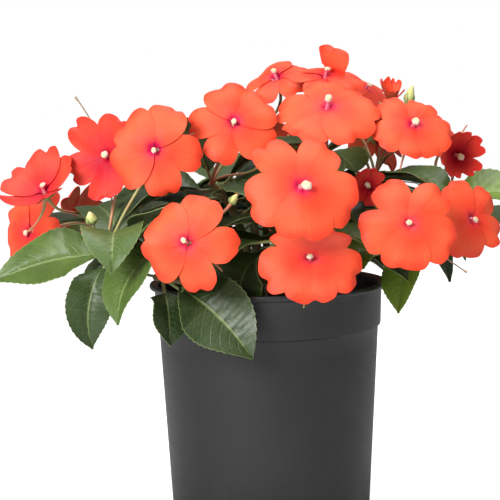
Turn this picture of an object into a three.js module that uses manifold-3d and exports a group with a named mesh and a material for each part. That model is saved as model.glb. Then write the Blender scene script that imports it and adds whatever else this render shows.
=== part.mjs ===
// A New Guinea impatiens in bloom in a black nursery pot, in millimetres, +Z up.
// The origin is the centre of the pot's flat underside, and the plant's front faces -Y.
import * as THREE from "three";
import { mergeVertices } from "three/addons/utils/BufferGeometryUtils.js";
import Module from "manifold-3d";

const wasm = await Module();
wasm.setup();

// Driving dimensions of the pot and its soil
const POT_HEIGHT = 176;
const POT_SIDES = 32;
const SOIL_SIDES = 24;
const FOOT_RADIUS = 70;
const WALL_TOP_RADIUS = 77.7;
const BAND_RADIUS = 79.6;
const BAND_HEIGHT = 30;
const LIP_RADIUS = 84;
const LIP_DEPTH = 4;
const WALL = 1.8;
const FLOOR = 2.6;
const DRAIN_HOLES = 6;
const DRAIN_RADIUS = 6.5;
const SOIL_TOP = 152;
const SOIL_RELIEF = 1.6;
const GAP = 0.35; // air kept between two pieces that touch

// Driving dimensions of the plant
const STEM_FOOT_RADIUS = 3.6;
const STEM_TIP_RADIUS = 2.1;
const STEM_DEPTH = 24; // how far a stem stands in its hole in the soil
const HOLE_RADIUS = 4.3;
const HOLE_LENGTH = 40; // it runs out above the soil
const PEDICEL_RADIUS = 1.1;
const STEM_STEPS = 5;
const STALK_STEPS = 4;
const PETIOLE = 13;
const PETIOLE_HALF_WIDTH = 0.9;
const PETIOLE_THICKNESS = 1.6;
const RIB_THICKNESS = 1.3;
const BLADE_THICKNESS = 0.65;
const BLADE_WIDEST = 0.44; // share of the blade's length where it is widest
const LEAF_TEETH = 4;
const TOOTH_DEPTH = 0.09; // share of the blade's half width
const PETAL_THICKNESS = 0.65;
const PETAL_LAYER = 1.1; // height between a petal and the next one that overlaps it
const TOP_LAYER = 4; // the petal over all others, which may be lifted
const LIFT_FOLD = 7; // how far out a lifted petal folds
const CLAW_RING = 2.8; // radius at which the five petals join
const HUB_LENGTH = 9;
const HUB_RADIUS = 3.3;
const CLEARANCE = 0.9; // air between leaves of two stems, or a leaf and a bloom

const UP = new THREE.Vector3(0, 0, 1);
const { cos, sin, abs, PI, max, min } = Math;
const degrees = THREE.MathUtils.degToRad;
const vec = (x, y, z) => new THREE.Vector3(x, y, z);

// The n-th draw of a seeded sequence, from 0 to 1.
const SEED = 0.37;
const draw = (n) => (SEED + n * 0.6180339887498949) % 1;
const spread = (n, reach) => (2 * draw(n) - 1) * reach;

// Horizontal direction of an azimuth: 0 is the plant's front, -Y, and 90 is +X.
const heading = (azimuth) => vec(sin(degrees(azimuth)), -cos(degrees(azimuth)), 0);
const facing = (azimuth, rise) =>
  heading(azimuth).multiplyScalar(cos(degrees(rise))).addScaledVector(UP, sin(degrees(rise)));

// A closed mesh, with its shared vertices merged, as a solid.
function solidOf(geometry) {
  const bare = new THREE.BufferGeometry();
  bare.setAttribute("position", geometry.getAttribute("position").clone());
  if (geometry.index) bare.setIndex(geometry.index.clone());
  const merged = mergeVertices(bare, 1e-4);
  const vertProperties = merged.getAttribute("position").array;
  const triVerts = new Uint32Array(merged.index.array);
  return new wasm.Manifold(new wasm.Mesh({ numProp: 3, vertProperties, triVerts }));
}

function geometryOf(solid) {
  const mesh = solid.getMesh();
  const points = new Float32Array(mesh.numVert * 3);
  for (let i = 0; i < mesh.numVert; i++) {
    points.set(mesh.vertProperties.subarray(i * mesh.numProp, i * mesh.numProp + 3), i * 3);
  }
  const geometry = new THREE.BufferGeometry();
  geometry.setAttribute("position", new THREE.BufferAttribute(points, 3));
  geometry.setIndex(new THREE.BufferAttribute(mesh.triVerts, 1));
  return geometry;
}

function indexed(points, index) {
  const geometry = new THREE.BufferGeometry();
  const coordinates = points.flatMap((p) => p.toArray());
  geometry.setAttribute("position", new THREE.Float32BufferAttribute(coordinates, 3));
  geometry.setIndex(index);
  return geometry;
}

// A thin closed blade between two sheets of points that have the same triangles.
function blade(tops, bottoms, triangles) {
  const below = tops.length;
  const rim = new Map();
  for (const [a, b, c] of triangles) {
    for (const [p, q] of [[a, b], [b, c], [c, a]]) {
      if (!rim.delete(q + "," + p)) rim.set(p + "," + q, [p, q]);
    }
  }
  const index = triangles.flatMap(([a, b, c]) => [a, b, c, c + below, b + below, a + below]);
  for (const [p, q] of rim.values()) {
    index.push(q, p, p + below, q, p + below, q + below);
  }
  return indexed([...tops, ...bottoms], index);
}

// A closed tube through a row of centres, with a radius at each.
function taperedTube(centres, radii, sides) {
  const last = centres.length - 1;
  const points = [];
  const index = [];
  let across = vec(0.31, 0.67, 0.11);
  centres.forEach((centre, i) => {
    const ahead = centres[min(last, i + 1)].clone().sub(centres[max(0, i - 1)]).normalize();
    across = across.addScaledVector(ahead, -across.dot(ahead)).normalize();
    const upright = ahead.clone().cross(across);
    for (let k = 0; k < sides; k++) {
      const turn = (2 * PI * k) / sides;
      const out = across.clone().multiplyScalar(cos(turn)).addScaledVector(upright, sin(turn));
      points.push(centre.clone().addScaledVector(out, radii[i]));
    }
  });
  for (let i = 0; i < last; i++) {
    for (let k = 0; k < sides; k++) {
      const a = i * sides + k;
      const b = i * sides + ((k + 1) % sides);
      index.push(a, b, b + sides, a, b + sides, a + sides);
    }
  }
  const end = last * sides;
  for (let k = 1; k < sides - 1; k++) {
    index.push(0, k + 1, k, end, end + k, end + k + 1);
  }
  return indexed(points, index);
}

const taper = (rings, from, to) =>
  Array.from({ length: rings + 1 }, (_, i) => from + ((to - from) * i) / rings);

// A profile of [radius, height] points, turned round the upright axis.
function lathed(profile, sides) {
  const points = profile.map(([radius, height]) => new THREE.Vector2(radius, height));
  return new THREE.LatheGeometry(points, sides).rotateX(PI / 2);
}

// Pot: a thin wall with a stepped band and a rolled lip, and drain holes round its foot.
function potGeometry() {
  const step = POT_HEIGHT - BAND_HEIGHT;
  const foot = 2.5;
  const profile = [
    [0, 0],
    [FOOT_RADIUS - foot, 0],
    [FOOT_RADIUS, foot],
    [WALL_TOP_RADIUS, step - 2],
    [BAND_RADIUS, step],
    [BAND_RADIUS + 0.8, POT_HEIGHT - LIP_DEPTH],
    [LIP_RADIUS, POT_HEIGHT - LIP_DEPTH + 0.6],
    [LIP_RADIUS, POT_HEIGHT - 1],
    [LIP_RADIUS - 1.2, POT_HEIGHT],
    [BAND_RADIUS + 0.2 - WALL, POT_HEIGHT - 1.4],
    [BAND_RADIUS - WALL, step],
    [WALL_TOP_RADIUS - WALL, step - 3],
    [FOOT_RADIUS - WALL, FLOOR],
    [0, FLOOR],
  ];
  let pot = solidOf(lathed(profile, POT_SIDES));
  for (let i = 0; i < DRAIN_HOLES; i++) {
    const out = heading((360 * (i + 0.5)) / DRAIN_HOLES).addScaledVector(UP, -1).normalize();
    const corner = heading((360 * (i + 0.5)) / DRAIN_HOLES).multiplyScalar(FOOT_RADIUS - 1);
    const drill = new THREE.CylinderGeometry(DRAIN_RADIUS, DRAIN_RADIUS, 16, 8);
    drill.applyQuaternion(new THREE.Quaternion().setFromUnitVectors(vec(0, 1, 0), out));
    pot = pot.subtract(solidOf(drill.translate(corner.x, corner.y, 1)));
  }
  return geometryOf(pot);
}

// Radius of the pot's inner wall at a height.
function innerRadius(z) {
  const wallTop = POT_HEIGHT - BAND_HEIGHT;
  const share = min(1, z / wallTop);
  return (z > wallTop ? BAND_RADIUS : FOOT_RADIUS + (WALL_TOP_RADIUS - FOOT_RADIUS) * share) - WALL;
}

// Soil: it fills the pot up to a crumbly surface, and has one plain hole for each stem.
function soilGeometry(stems) {
  const bottom = FLOOR + GAP;
  const side = (z) => [innerRadius(z) - 2 * GAP, z];
  const shoulder = POT_HEIGHT - BAND_HEIGHT - 4;
  const rings = [68, 46, 22];
  const profile = [[0, bottom], side(bottom), side(shoulder)];
  profile.push([WALL_TOP_RADIUS - WALL - 2 * GAP, SOIL_TOP - 2], ...rings.map((r) => [r, SOIL_TOP]));
  profile.push([0, SOIL_TOP + 1]);
  const heap = lathed(profile, SOIL_SIDES);
  const points = heap.getAttribute("position");
  for (let i = 0; i < points.count; i++) {
    const [x, y, z] = [points.getX(i), points.getY(i), points.getZ(i)];
    const crumbs = sin(x * 0.31) * cos(y * 0.27) + 0.6 * sin(x * 0.13 + y * 0.19);
    if (z >= SOIL_TOP && Math.hypot(x, y) > 1) points.setZ(i, z + SOIL_RELIEF * crumbs);
  }
  let soil = solidOf(heap);
  for (const stem of stems) {
    const hole = new THREE.CylinderGeometry(HOLE_RADIUS, HOLE_RADIUS, HOLE_LENGTH, 8).rotateX(PI / 2);
    const { x, y } = footOf(stem);
    const middle = SOIL_TOP - STEM_DEPTH - GAP + HOLE_LENGTH / 2;
    soil = soil.subtract(solidOf(hole.translate(x, y, middle)));
  }
  return geometryOf(soil);
}

// Bloom. Its own frame has +Z out of its face and +Y towards the upper petal. The petals go
// round it in this order, and a higher layer lies over a lower one.
const PETALS = [
  { turn: -146, length: 0.52, halfWidth: 0.28, layer: 0 },
  { turn: -72, length: 0.5, halfWidth: 0.29, layer: 2 },
  { turn: 0, length: 0.47, halfWidth: 0.29, layer: 4 },
  { turn: 72, length: 0.5, halfWidth: 0.29, layer: 3 },
  { turn: 146, length: 0.52, halfWidth: 0.28, layer: 1 },
];
const onPetal = (turn, along, across, z) => {
  const [c, s] = [cos(degrees(turn)), sin(degrees(turn))];
  return vec(across * c - along * s, across * s + along * c, z);
};

// A petal's surface: s runs from its claw to its edge, c from one side to the other.
function petalPoint(bloom, petal, s, c, up) {
  const reach = bloom.size * petal.length;
  const notch = 0.1 * max(0, 1 - abs(c) / 0.5);
  const corner = 0.36 * (max(0, abs(c) - 0.45) / 0.55) ** 1.5;
  const along = reach * s * (1 - (notch + corner) * s);
  const across = bloom.size * petal.halfWidth * c * sin(0.6 * PI * s ** 1.8);
  const out = Math.hypot(along, across) / (bloom.size / 2);
  const slope = Math.hypot(1, 4.4 * bloom.reflex * out ** 1.2);
  const groove = -0.4 * (1 - c * c) * s + 0.1 * sin(4 * c + petal.layer) * s * s;
  const layer = (petal.layer - 2) * PETAL_LAYER + up;
  const reflexed = bloom.reflex * bloom.size * out ** 2.2;
  const flat = groove - reflexed + layer * slope;
  const lift = petal.layer === TOP_LAYER ? degrees(bloom.lift) : 0;
  const past = max(0, along - LIFT_FOLD);
  const forward = along - past + past * cos(lift) - flat * sin(lift);
  return onPetal(petal.turn, forward, across, past * sin(lift) + flat * cos(lift));
}

// The five petals as one thin blade, which is cut down to the ring where their claws join.
function corollaGeometry(bloom) {
  const sheet = (up) => {
    const ring = PETALS.map(({ turn }, k) => {
      const before = PETALS[(k + 4) % 5].turn - (k === 0 ? 360 : 0);
      return onPetal((turn + before) / 2, CLAW_RING, 0, up - 1);
    });
    const rows = [[0.45, [-1, 1]], [1, [-1, -0.5, 0, 0.5, 1]]];
    const petals = PETALS.flatMap((petal) =>
      rows.flatMap(([s, columns]) => columns.map((c) => petalPoint(bloom, petal, s, c, up))),
    );
    return [...ring, ...petals];
  };
  const triangles = [[0, 1, 2], [0, 2, 3], [0, 3, 4]];
  const pattern = [["R", 1, "L"], ["L", 1, 0], [0, 3, 2], [0, 4, 3], [0, 1, 4], [1, 5, 4], [1, 6, 5]];
  PETALS.forEach((_, k) => {
    const corner = { R: k, L: (k + 1) % 5 };
    triangles.push(...pattern.map((three) => three.map((at) => corner[at] ?? 5 + 7 * k + at)));
  });
  return blade(sheet(PETAL_THICKNESS / 2), sheet(-PETAL_THICKNESS / 2), triangles);
}

// The green back of a bloom, its column, and the thin nectar spur that curves away from its stalk.
function bloomSolid(bloom) {
  const centres = [vec(0, 0, -HUB_LENGTH), vec(0, 0, -4.5), vec(0, 0, -1.8), vec(0, 1.6, 5)];
  const hub = taperedTube(centres, [1.3, HUB_RADIUS, 1.8, 1.7], 5);
  const stalkSide = bloom.stemTip.clone().sub(bloom.at).applyMatrix4(bloomTurn(bloom).invert());
  const away = Math.atan2(stalkSide.y, stalkSide.x) + degrees(150);
  const spurPoint = (out, z) => vec(out * cos(away), out * sin(away), z);
  const spurEnds = [spurPoint(1, -5), spurPoint(9, -18), spurPoint(25, -17)];
  const spurCurve = new THREE.QuadraticBezierCurve3(...spurEnds);
  const spur = taperedTube(spurCurve.getPoints(3), taper(3, 1.3, 0.6), 3);
  const pieces = [corollaGeometry(bloom), hub, spur];
  return pieces.map(solidOf).reduce((whole, piece) => whole.add(piece));
}

// The turn that takes a bloom's own frame to where it faces.
function bloomTurn({ azimuth, rise, roll }) {
  const out = facing(azimuth, rise);
  const level = abs(rise) > 85 ? vec(0, 1, 0) : UP;
  const top = level.clone().addScaledVector(out, -level.dot(out)).normalize();
  top.applyAxisAngle(out, degrees(roll));
  return new THREE.Matrix4().makeBasis(top.clone().cross(out), top, out);
}

// Stems: where each one's tip is, how far its foot is from the pot's axis, and its leaf whorls.
const stemTo = (name, tip, foot, low, top) => ({ name, tip: vec(...tip), foot, low, top });
const STEMS = [
  stemTo("left_front", [-106, -68, 206], 30, 0, 2),
  stemTo("left", [-122, -8, 220], 32, 0, 2),
  stemTo("front_left", [-58, -78, 214], 22, 0, 1),
  stemTo("rim_left", [-74, -84, 190], 42, 0, 0),
  stemTo("front", [6, -74, 214], 28, 0, 2),
  stemTo("front_right", [90, -70, 206], 30, 0, 1),
  stemTo("right", [120, -24, 220], 32, 0, 0),
  stemTo("top_left", [-38, -40, 248], 12, 1, 3),
  stemTo("top", [28, -26, 262], 10, 1, 3),
  stemTo("top_right", [76, -8, 250], 18, 1, 3),
  stemTo("back_left", [-84, 62, 226], 30, 1, 3),
  stemTo("back", [0, 98, 220], 30, 1, 3),
  stemTo("back_right", [86, 62, 226], 30, 1, 3),
  stemTo("top_back", [-18, 34, 258], 12, 1, 3),
];

// The blooms of the plant's front, each with its stem, its place, how it faces and its width.
const bloomAt = (stem, at, azimuth, rise, roll, size, reflex = 0.09, lift = 0) => {
  const stemTip = STEMS.find((s) => s.name === stem).tip;
  return { stem, stemTip, at: vec(...at), azimuth, rise, roll, size, reflex, lift };
};
const BLOOMS = [
  bloomAt("left_front", [-71, -102, 273], -8, 8, 50, 57),
  bloomAt("left_front", [-105, -66, 268], -24, 4, -100, 55, -0.1),
  bloomAt("left", [-148, -60, 246], -30, 50, 20, 51, -0.24),
  bloomAt("left", [-165, -22, 216], -40, 2, 120, 58),
  bloomAt("front_left", [-51, -125, 216], -14, 8, 50, 58),
  bloomAt("top_left", [-21, -85, 289], 2, 25, -60, 56),
  bloomAt("front", [19, -145, 250], 6, 20, 180, 67),
  bloomAt("front", [25, -128, 205], 6, 38, 175, 62),
  bloomAt("top", [39, -80, 297], 0, 52, 215, 67),
  bloomAt("top_left", [8, -6, 319], -30, 58, 30, 48),
  bloomAt("top", [41, -30, 319], 8, 70, -60, 53, 0.05, 94),
  bloomAt("top_right", [73, 26, 311], 50, 50, 80, 52),
  bloomAt("top_right", [94, -82, 285], 12, 36, 180, 51),
  bloomAt("right", [127, -42, 264], 10, 2, 10, 31, -0.5),
  bloomAt("right", [132, 12, 272], 40, 38, 90, 48),
  bloomAt("front_right", [86, -124, 225], 8, 22, 170, 61),
  bloomAt("right", [131, -80, 224], 26, 12, 95, 52),
  bloomAt("top", [67, -54, 244], 4, 6, 40, 25, -0.3),
  bloomAt("top_right", [88, 0, 303], 10, 66, 30, 18, -0.6),
];

// Closed buds: each one's stem, its place, and its length.
const budAt = (stem, at, length) => ({ stem, at: vec(...at), length });
const BUDS = [
  budAt("left_front", [-114, -84, 229], 9),
  budAt("front_left", [-22, -92, 240], 8),
  budAt("top_left", [-2, -72, 264], 8),
  budAt("top_right", [101, -6, 305], 14),
  budAt("right", [136, 24, 252], 10),
  budAt("back", [-32, 116, 246], 11),
  budAt("back_left", [-96, 92, 250], 10),
];

// The blooms of the back stand in two tiers, each on the stem whose tip is nearest.
const BACK_TIERS = [
  { count: 5, from: 112, to: 248, reach: 152, height: 222, rise: 12, size: 60 },
  { count: 4, from: 132, to: 236, reach: 108, height: 276, rise: 44, size: 58 },
];
const outwardAzimuth = ({ tip }) => THREE.MathUtils.radToDeg(Math.atan2(tip.x, -tip.y));

function backBlooms() {
  let count = 0;
  return BACK_TIERS.flatMap((tier) =>
    Array.from({ length: tier.count }, (_, i) => {
      count += 1;
      const step = (tier.to - tier.from) / (tier.count - 1);
      const azimuth = tier.from + step * i + spread(count, 3);
      const at = heading(azimuth).multiplyScalar(tier.reach + spread(count + 4, 4));
      at.setZ(tier.height + spread(count + 9, 6));
      const stem = STEMS.reduce((a, b) => (a.tip.distanceTo(at) < b.tip.distanceTo(at) ? a : b));
      const size = tier.size + spread(count + 7, 4);
      const rise = tier.rise + spread(count, 8);
      return bloomAt(stem.name, at.toArray(), azimuth, rise, 360 * draw(count), size);
    }),
  );
}

// Leaves that the front shows plainly: each one's stem, its place along it, its heading, rise and
// bend, its length and width, and how far it is rolled over.
const leafOn = (stem, at, azimuth, rise, bend, length, width, roll) => {
  return { stem, at, azimuth, rise, bend, length, width, roll };
};
const FRONT_LEAVES = [
  leafOn("front_left", 0.92, -58, -8, 86, 68, 48, 8),
  leafOn("left_front", 0.9, -93, 0, 26, 80, 44, 46),
  leafOn("left_front", 0.95, 2, 42, 124, 60, 41, -4),
  leafOn("left_front", 0.97, -50, -50, 60, 56, 32, 60),
  leafOn("rim_left", 0.94, 66, -26, 30, 68, 48, -58),
  leafOn("rim_left", 0.94, 14, -28, 50, 36, 34, 30),
  leafOn("front", 0.86, -92, -8, 84, 48, 44, 58),
  leafOn("top_left", 0.9, 38, 20, 60, 66, 42, -35),
  leafOn("top_left", 0.8, -96, 16, 40, 66, 38, 40),
  leafOn("top_left", 0.94, -34, 62, 40, 60, 30, 0),
  leafOn("right", 0.86, -40, -54, 24, 51, 32, -14),
  leafOn("front_right", 0.94, -72, 0, 50, 54, 36, 44),
  leafOn("right", 0.94, 62, 54, 70, 66, 40, -30),
  leafOn("right", 0.91, 118, 16, 62, 78, 42, 0),
  leafOn("right", 0.9, -142, 24, 62, 74, 40, 8),
  leafOn("right", 0.92, -66, 10, 62, 70, 38, 0),
  leafOn("top_right", 0.84, 20, 10, 60, 64, 34, 12),
  leafOn("top", 0.8, 30, 6, 50, 62, 34, -30),
];

// The other leaves stand in whorls: a low one, and one under the stem's tip.
function whorlLeaves() {
  let count = 0;
  return STEMS.flatMap((stem, order) => {
    const outward = outwardAzimuth(stem);
    const top = Array.from({ length: stem.top }, (_, k) => {
      count += 1;
      const turn = (360 * (k + 0.5)) / stem.top + 45 * (order % 2) + spread(count, 16);
      const rise = 26 + spread(count, 10);
      const length = 76 + spread(count + 5, 9);
      const roll = spread(count + 2, 14);
      return leafOn(stem.name, 0.91, outward + turn, rise, 62, length, length * 0.54, roll);
    });
    const low = Array.from({ length: stem.low }, (_, k) => {
      count += 1;
      const turn = (k - (stem.low - 1) / 2) * 74 + spread(count, 14);
      const rise = 16 + spread(count + 3, 8);
      const length = 80 + spread(count, 6);
      return leafOn(stem.name, 0.66, outward + turn, rise, 64, length, 42, spread(count, 12));
    });
    return [...top, ...low];
  });
}

// How a leaf may be bent clear of what it would cross: its length, its rise and its heading.
const BENDS = [1, 0.8].flatMap((scale) =>
  [0, -14, 14, -28, 28].flatMap((rise) =>
    [0, 13, -13, 26, -26].map((turn) => ({ scale, rise, turn })),
  ),
);
const bentBy = (leaf, { scale, rise, turn }) => ({
  ...leaf,
  azimuth: leaf.azimuth + turn,
  rise: leaf.rise + rise,
  length: leaf.length * scale,
  width: leaf.width * scale,
});

const footOf = (stem) => heading(outwardAzimuth(stem)).multiplyScalar(stem.foot);

function stemCurve(stem) {
  const foot = footOf(stem).setZ(SOIL_TOP + 4);
  const knee = foot.clone().lerp(stem.tip, 0.15).setZ(SOIL_TOP + 0.75 * (stem.tip.z - SOIL_TOP));
  return new THREE.QuadraticBezierCurve3(foot, knee, stem.tip);
}

function stemGeometry(stem) {
  const buried = footOf(stem).setZ(SOIL_TOP - STEM_DEPTH);
  const centres = [buried, ...stemCurve(stem).getPoints(STEM_STEPS)];
  const radii = taper(STEM_STEPS + 1, STEM_FOOT_RADIUS, STEM_TIP_RADIUS);
  return taperedTube(centres, radii, 5);
}

// The place on a stem's axis where a leaf springs, a little towards the leaf.
function leafRoot(leaf) {
  const centres = stemCurve(STEMS.find((stem) => stem.name === leaf.stem)).getPoints(STEM_STEPS);
  const step = min(STEM_STEPS - 1, Math.floor(leaf.at * STEM_STEPS));
  const centre = centres[step].clone().lerp(centres[step + 1], leaf.at * STEM_STEPS - step);
  return centre.addScaledVector(heading(leaf.azimuth), 0.8);
}

// A flower stalk from a stem's tip to a point that it reaches in a direction.
function stalkPoints(stem, end, out) {
  const start = stem.tip.clone().addScaledVector(UP, -1.5);
  const reach = start.distanceTo(end);
  const leave = start.clone().lerp(end, 0.3).addScaledVector(UP, 0.15 * reach);
  const arrive = end.clone().addScaledVector(out, -0.35 * reach);
  return new THREE.CubicBezierCurve3(start, leave, arrive, end).getPoints(STALK_STEPS);
}

function pedicelGeometry(stem, bloom) {
  const out = facing(bloom.azimuth, bloom.rise);
  const end = bloom.at.clone().addScaledVector(out, -HUB_LENGTH - 2 * GAP);
  const radii = taper(STALK_STEPS, PEDICEL_RADIUS * 1.2, PEDICEL_RADIUS);
  return taperedTube(stalkPoints(stem, end, out), radii, 3);
}

function budGeometry(stem, bud) {
  const out = bud.at.clone().sub(stem.tip).normalize().addScaledVector(UP, 0.6).normalize();
  const along = (share) => bud.at.clone().addScaledVector(out, share * bud.length);
  const swell = [0.15, 0.45, 0.75, 1].map(along);
  const [start, , middle, , end] = stalkPoints(stem, bud.at, out);
  return taperedTube([start, middle, end, ...swell], [1.2, 1, 0.9, 2.4, 3.1, 2.2, 0.5], 4);
}

// A leaf's surface. Along runs from -1, where its petiole leaves the stem, through 0, where the
// blade begins, to 1 at its tip. Across is from -1 to 1, and up is a height above the surface.
function leafPoint(leaf, along, across, up) {
  const ahead = heading(leaf.azimuth);
  const side = ahead.clone().cross(UP);
  const rise = degrees(leaf.rise);
  const bend = degrees(leaf.bend);
  const t = max(0, along);
  const angle = rise - bend * t;
  const point = leafRoot(leaf).addScaledVector(ahead, cos(rise) * PETIOLE * min(1, along + 1));
  point.addScaledVector(UP, sin(rise) * PETIOLE * min(1, along + 1));
  point.addScaledVector(ahead, (leaf.length / bend) * (sin(rise) - sin(angle)));
  point.addScaledVector(UP, (leaf.length / bend) * (cos(angle) - cos(rise)));
  const tangent = ahead.clone().multiplyScalar(cos(angle)).addScaledVector(UP, sin(angle));
  const normal = side.clone().cross(tangent);
  const roll = degrees(leaf.roll) * min(1, 3 * t);
  side.applyAxisAngle(tangent, -roll);
  normal.applyAxisAngle(tangent, -roll);
  const fold = degrees(14) * min(1, 4 * t);
  const wave = 0.05 * leaf.width * sin(3 * PI * t + leaf.length) * across ** 2;
  const half = bladeHalfWidth(leaf, t) * across;
  point.addScaledVector(side, half * cos(fold));
  return point.addScaledVector(normal, abs(half) * sin(fold) + wave * min(1, 4 * t) + up);
}

// A blade's half width, which is greatest at BLADE_WIDEST.
function bladeHalfWidth(leaf, t) {
  const power = BLADE_WIDEST / (1 - BLADE_WIDEST);
  const peak = BLADE_WIDEST ** power * (1 - BLADE_WIDEST);
  return max(PETIOLE_HALF_WIDTH, ((leaf.width / 2) * t ** power * (1 - t)) / peak);
}

// The leaf as a thin solid with a toothed edge. It may be grown on both faces, and it may start
// at its petiole's foot, along -1, or at its blade, along 0.
function leafGeometry(leaf, grown = 0, from = -1) {
  const tops = [];
  const bottoms = [];
  const triangles = [];
  const add = (along, across, thickness) => {
    tops.push(leafPoint(leaf, along, across, thickness / 2 + grown));
    bottoms.push(leafPoint(leaf, along, across, -thickness / 2 - grown));
    return tops.length - 1;
  };
  const valley = 1 - TOOTH_DEPTH;
  const peak = 1 + TOOTH_DEPTH;
  const station = (along) => ({
    left: add(along, -valley, BLADE_THICKNESS),
    mid: add(along, 0, PETIOLE_THICKNESS + (RIB_THICKNESS - PETIOLE_THICKNESS) * along),
    right: add(along, valley, BLADE_THICKNESS),
  });
  const foot = { left: add(from, -1, PETIOLE_THICKNESS), right: add(from, 1, PETIOLE_THICKNESS) };
  let here = station(0.02);
  triangles.push([foot.left, foot.right, here.mid]);
  triangles.push([foot.right, here.right, here.mid], [foot.left, here.mid, here.left]);
  for (let tooth = 1; tooth < LEAF_TEETH; tooth++) {
    const next = station(tooth / LEAF_TEETH);
    const left = add((tooth - 0.25) / LEAF_TEETH, -peak, BLADE_THICKNESS);
    const right = add((tooth - 0.25) / LEAF_TEETH, peak, BLADE_THICKNESS);
    triangles.push([here.mid, here.right, right], [here.mid, right, next.mid]);
    triangles.push([next.mid, right, next.right], [next.mid, next.left, left]);
    triangles.push([here.mid, left, here.left], [here.mid, next.mid, left]);
    here = next;
  }
  const tip = add(1, 0, BLADE_THICKNESS);
  triangles.push([here.mid, here.right, tip], [here.mid, tip, here.left]);
  return blade(tops, bottoms, triangles);
}

const green = new THREE.MeshStandardMaterial({ color: 0x3c5a26, roughness: 0.55 });
const coral = new THREE.MeshStandardMaterial({ color: 0xf9623f, roughness: 0.6 });
const black = new THREE.MeshStandardMaterial({ color: 0x2b2b2b, roughness: 0.5 });
const peat = new THREE.MeshStandardMaterial({ color: 0x33261d, roughness: 0.95 });

const plant = new THREE.Group();

function addNode(name, geometry, material, matrix = new THREE.Matrix4()) {
  const mesh = new THREE.Mesh(geometry, material);
  mesh.name = name;
  mesh.applyMatrix4(matrix);
  plant.add(mesh);
}

const pot = potGeometry();
const soil = soilGeometry(STEMS);
addNode("pot", pot, black);
addNode("soil", soil, peat);

// Blooms come first, because leaves are bent clear of them.
const blooms = [...BLOOMS, ...backBlooms()];
const placed = [{ name: "pot", solid: solidOf(pot) }, { name: "soil", solid: solidOf(soil) }];
blooms.forEach((bloom, i) => {
  const name = "bloom_" + String(i + 1).padStart(2, "0");
  const solid = bloomSolid(bloom);
  const matrix = bloomTurn(bloom).setPosition(bloom.at);
  addNode(name, geometryOf(solid), coral, matrix);
  placed.push({ name, solid: solid.transform(matrix.elements) });
});

const apart = (a, b) => {
  const [p, q] = [a.boundingBox(), b.boundingBox()];
  return [0, 1, 2].some((k) => p.max[k] < q.min[k] || q.max[k] < p.min[k]);
};
const crosses = (a, b) => !apart(a, b) && a.intersect(b).volume() > 0;

for (const stem of STEMS) {
  let solid = solidOf(stemGeometry(stem));
  for (const bloom of blooms.filter((b) => b.stem === stem.name)) {
    solid = solid.add(solidOf(pedicelGeometry(stem, bloom)));
  }
  for (const bud of BUDS.filter((b) => b.stem === stem.name)) {
    solid = solid.add(solidOf(budGeometry(stem, bud)));
  }
  placed.push({ name: stem.name, solid });
}

const leaves = [...FRONT_LEAVES, ...whorlLeaves()];
for (const leaf of leaves) {
  const own = placed.find((p) => p.name === leaf.stem);
  const clear = BENDS.map((bend) => bentBy(leaf, bend)).find((bent) => {
    const test = solidOf(leafGeometry(bent, CLEARANCE));
    const bladeAlone = solidOf(leafGeometry(bent, 0, 0));
    return placed.every((other) => !crosses(other === own ? bladeAlone : test, other.solid));
  });
  if (clear) own.solid = own.solid.add(solidOf(leafGeometry(clear)));
}

for (const stem of STEMS) {
  addNode("stem_" + stem.name, geometryOf(placed.find((p) => p.name === stem.name).solid), green);
}

export default plant;
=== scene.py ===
# %% [markdown]
# # A potted New Guinea impatiens
# This lesson dresses one plant in its black nursery pot. The solids that are loaded first are the
# fixed frame: they say where each stem, leaf and bloom stands and how large it is. Every piece
# that is made here takes the place of such a solid, keeps its form, and adds what the eye looks
# for: petals that ripple, leaves with cut edges and veins, and skins that take the light.

import math

import bpy
import numpy as np
from mathutils import Matrix, Vector, noise
from mathutils.bvhtree import BVHTree
from mathutils.kdtree import KDTree


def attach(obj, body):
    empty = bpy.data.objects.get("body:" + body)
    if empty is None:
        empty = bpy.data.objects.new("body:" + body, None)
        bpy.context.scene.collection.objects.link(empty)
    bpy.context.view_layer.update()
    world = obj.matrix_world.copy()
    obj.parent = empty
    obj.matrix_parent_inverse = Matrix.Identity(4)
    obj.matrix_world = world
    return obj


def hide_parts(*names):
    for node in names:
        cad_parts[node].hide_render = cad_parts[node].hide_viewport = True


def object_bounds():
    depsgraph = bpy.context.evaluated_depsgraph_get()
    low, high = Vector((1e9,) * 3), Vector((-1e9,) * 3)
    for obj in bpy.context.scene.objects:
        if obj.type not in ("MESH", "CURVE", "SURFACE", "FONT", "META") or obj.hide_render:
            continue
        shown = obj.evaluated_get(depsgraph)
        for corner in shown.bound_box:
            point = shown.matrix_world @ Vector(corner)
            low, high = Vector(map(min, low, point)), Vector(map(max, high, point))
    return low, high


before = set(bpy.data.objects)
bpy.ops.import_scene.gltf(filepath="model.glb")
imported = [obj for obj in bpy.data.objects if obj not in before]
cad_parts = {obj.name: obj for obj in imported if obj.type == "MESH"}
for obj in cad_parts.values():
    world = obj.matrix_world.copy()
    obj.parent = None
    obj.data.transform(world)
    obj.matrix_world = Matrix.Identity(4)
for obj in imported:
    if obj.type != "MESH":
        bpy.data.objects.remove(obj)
cad_low, cad_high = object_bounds()
MM = 0.001
print("solids in the frame:", len(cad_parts), "height", round(cad_high.z, 3), "m")

# %% [markdown]
# ## The camera
# The picture was taken from a little above the pot's rim with a long lens, so near and far blooms
# are almost the same size. The camera is built from its own three directions: right, up and
# forward. It looks down by 5.9 degrees and leans by one.

# %% Place the camera
CAMERA_AT = Vector((-12.3, -917, 292)) * MM
LOOKS_DOWN = math.radians(5.86)
LEANS = math.radians(1.0)
FOCAL_PIXELS = 1300
PICTURE_WIDTH = 500


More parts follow.
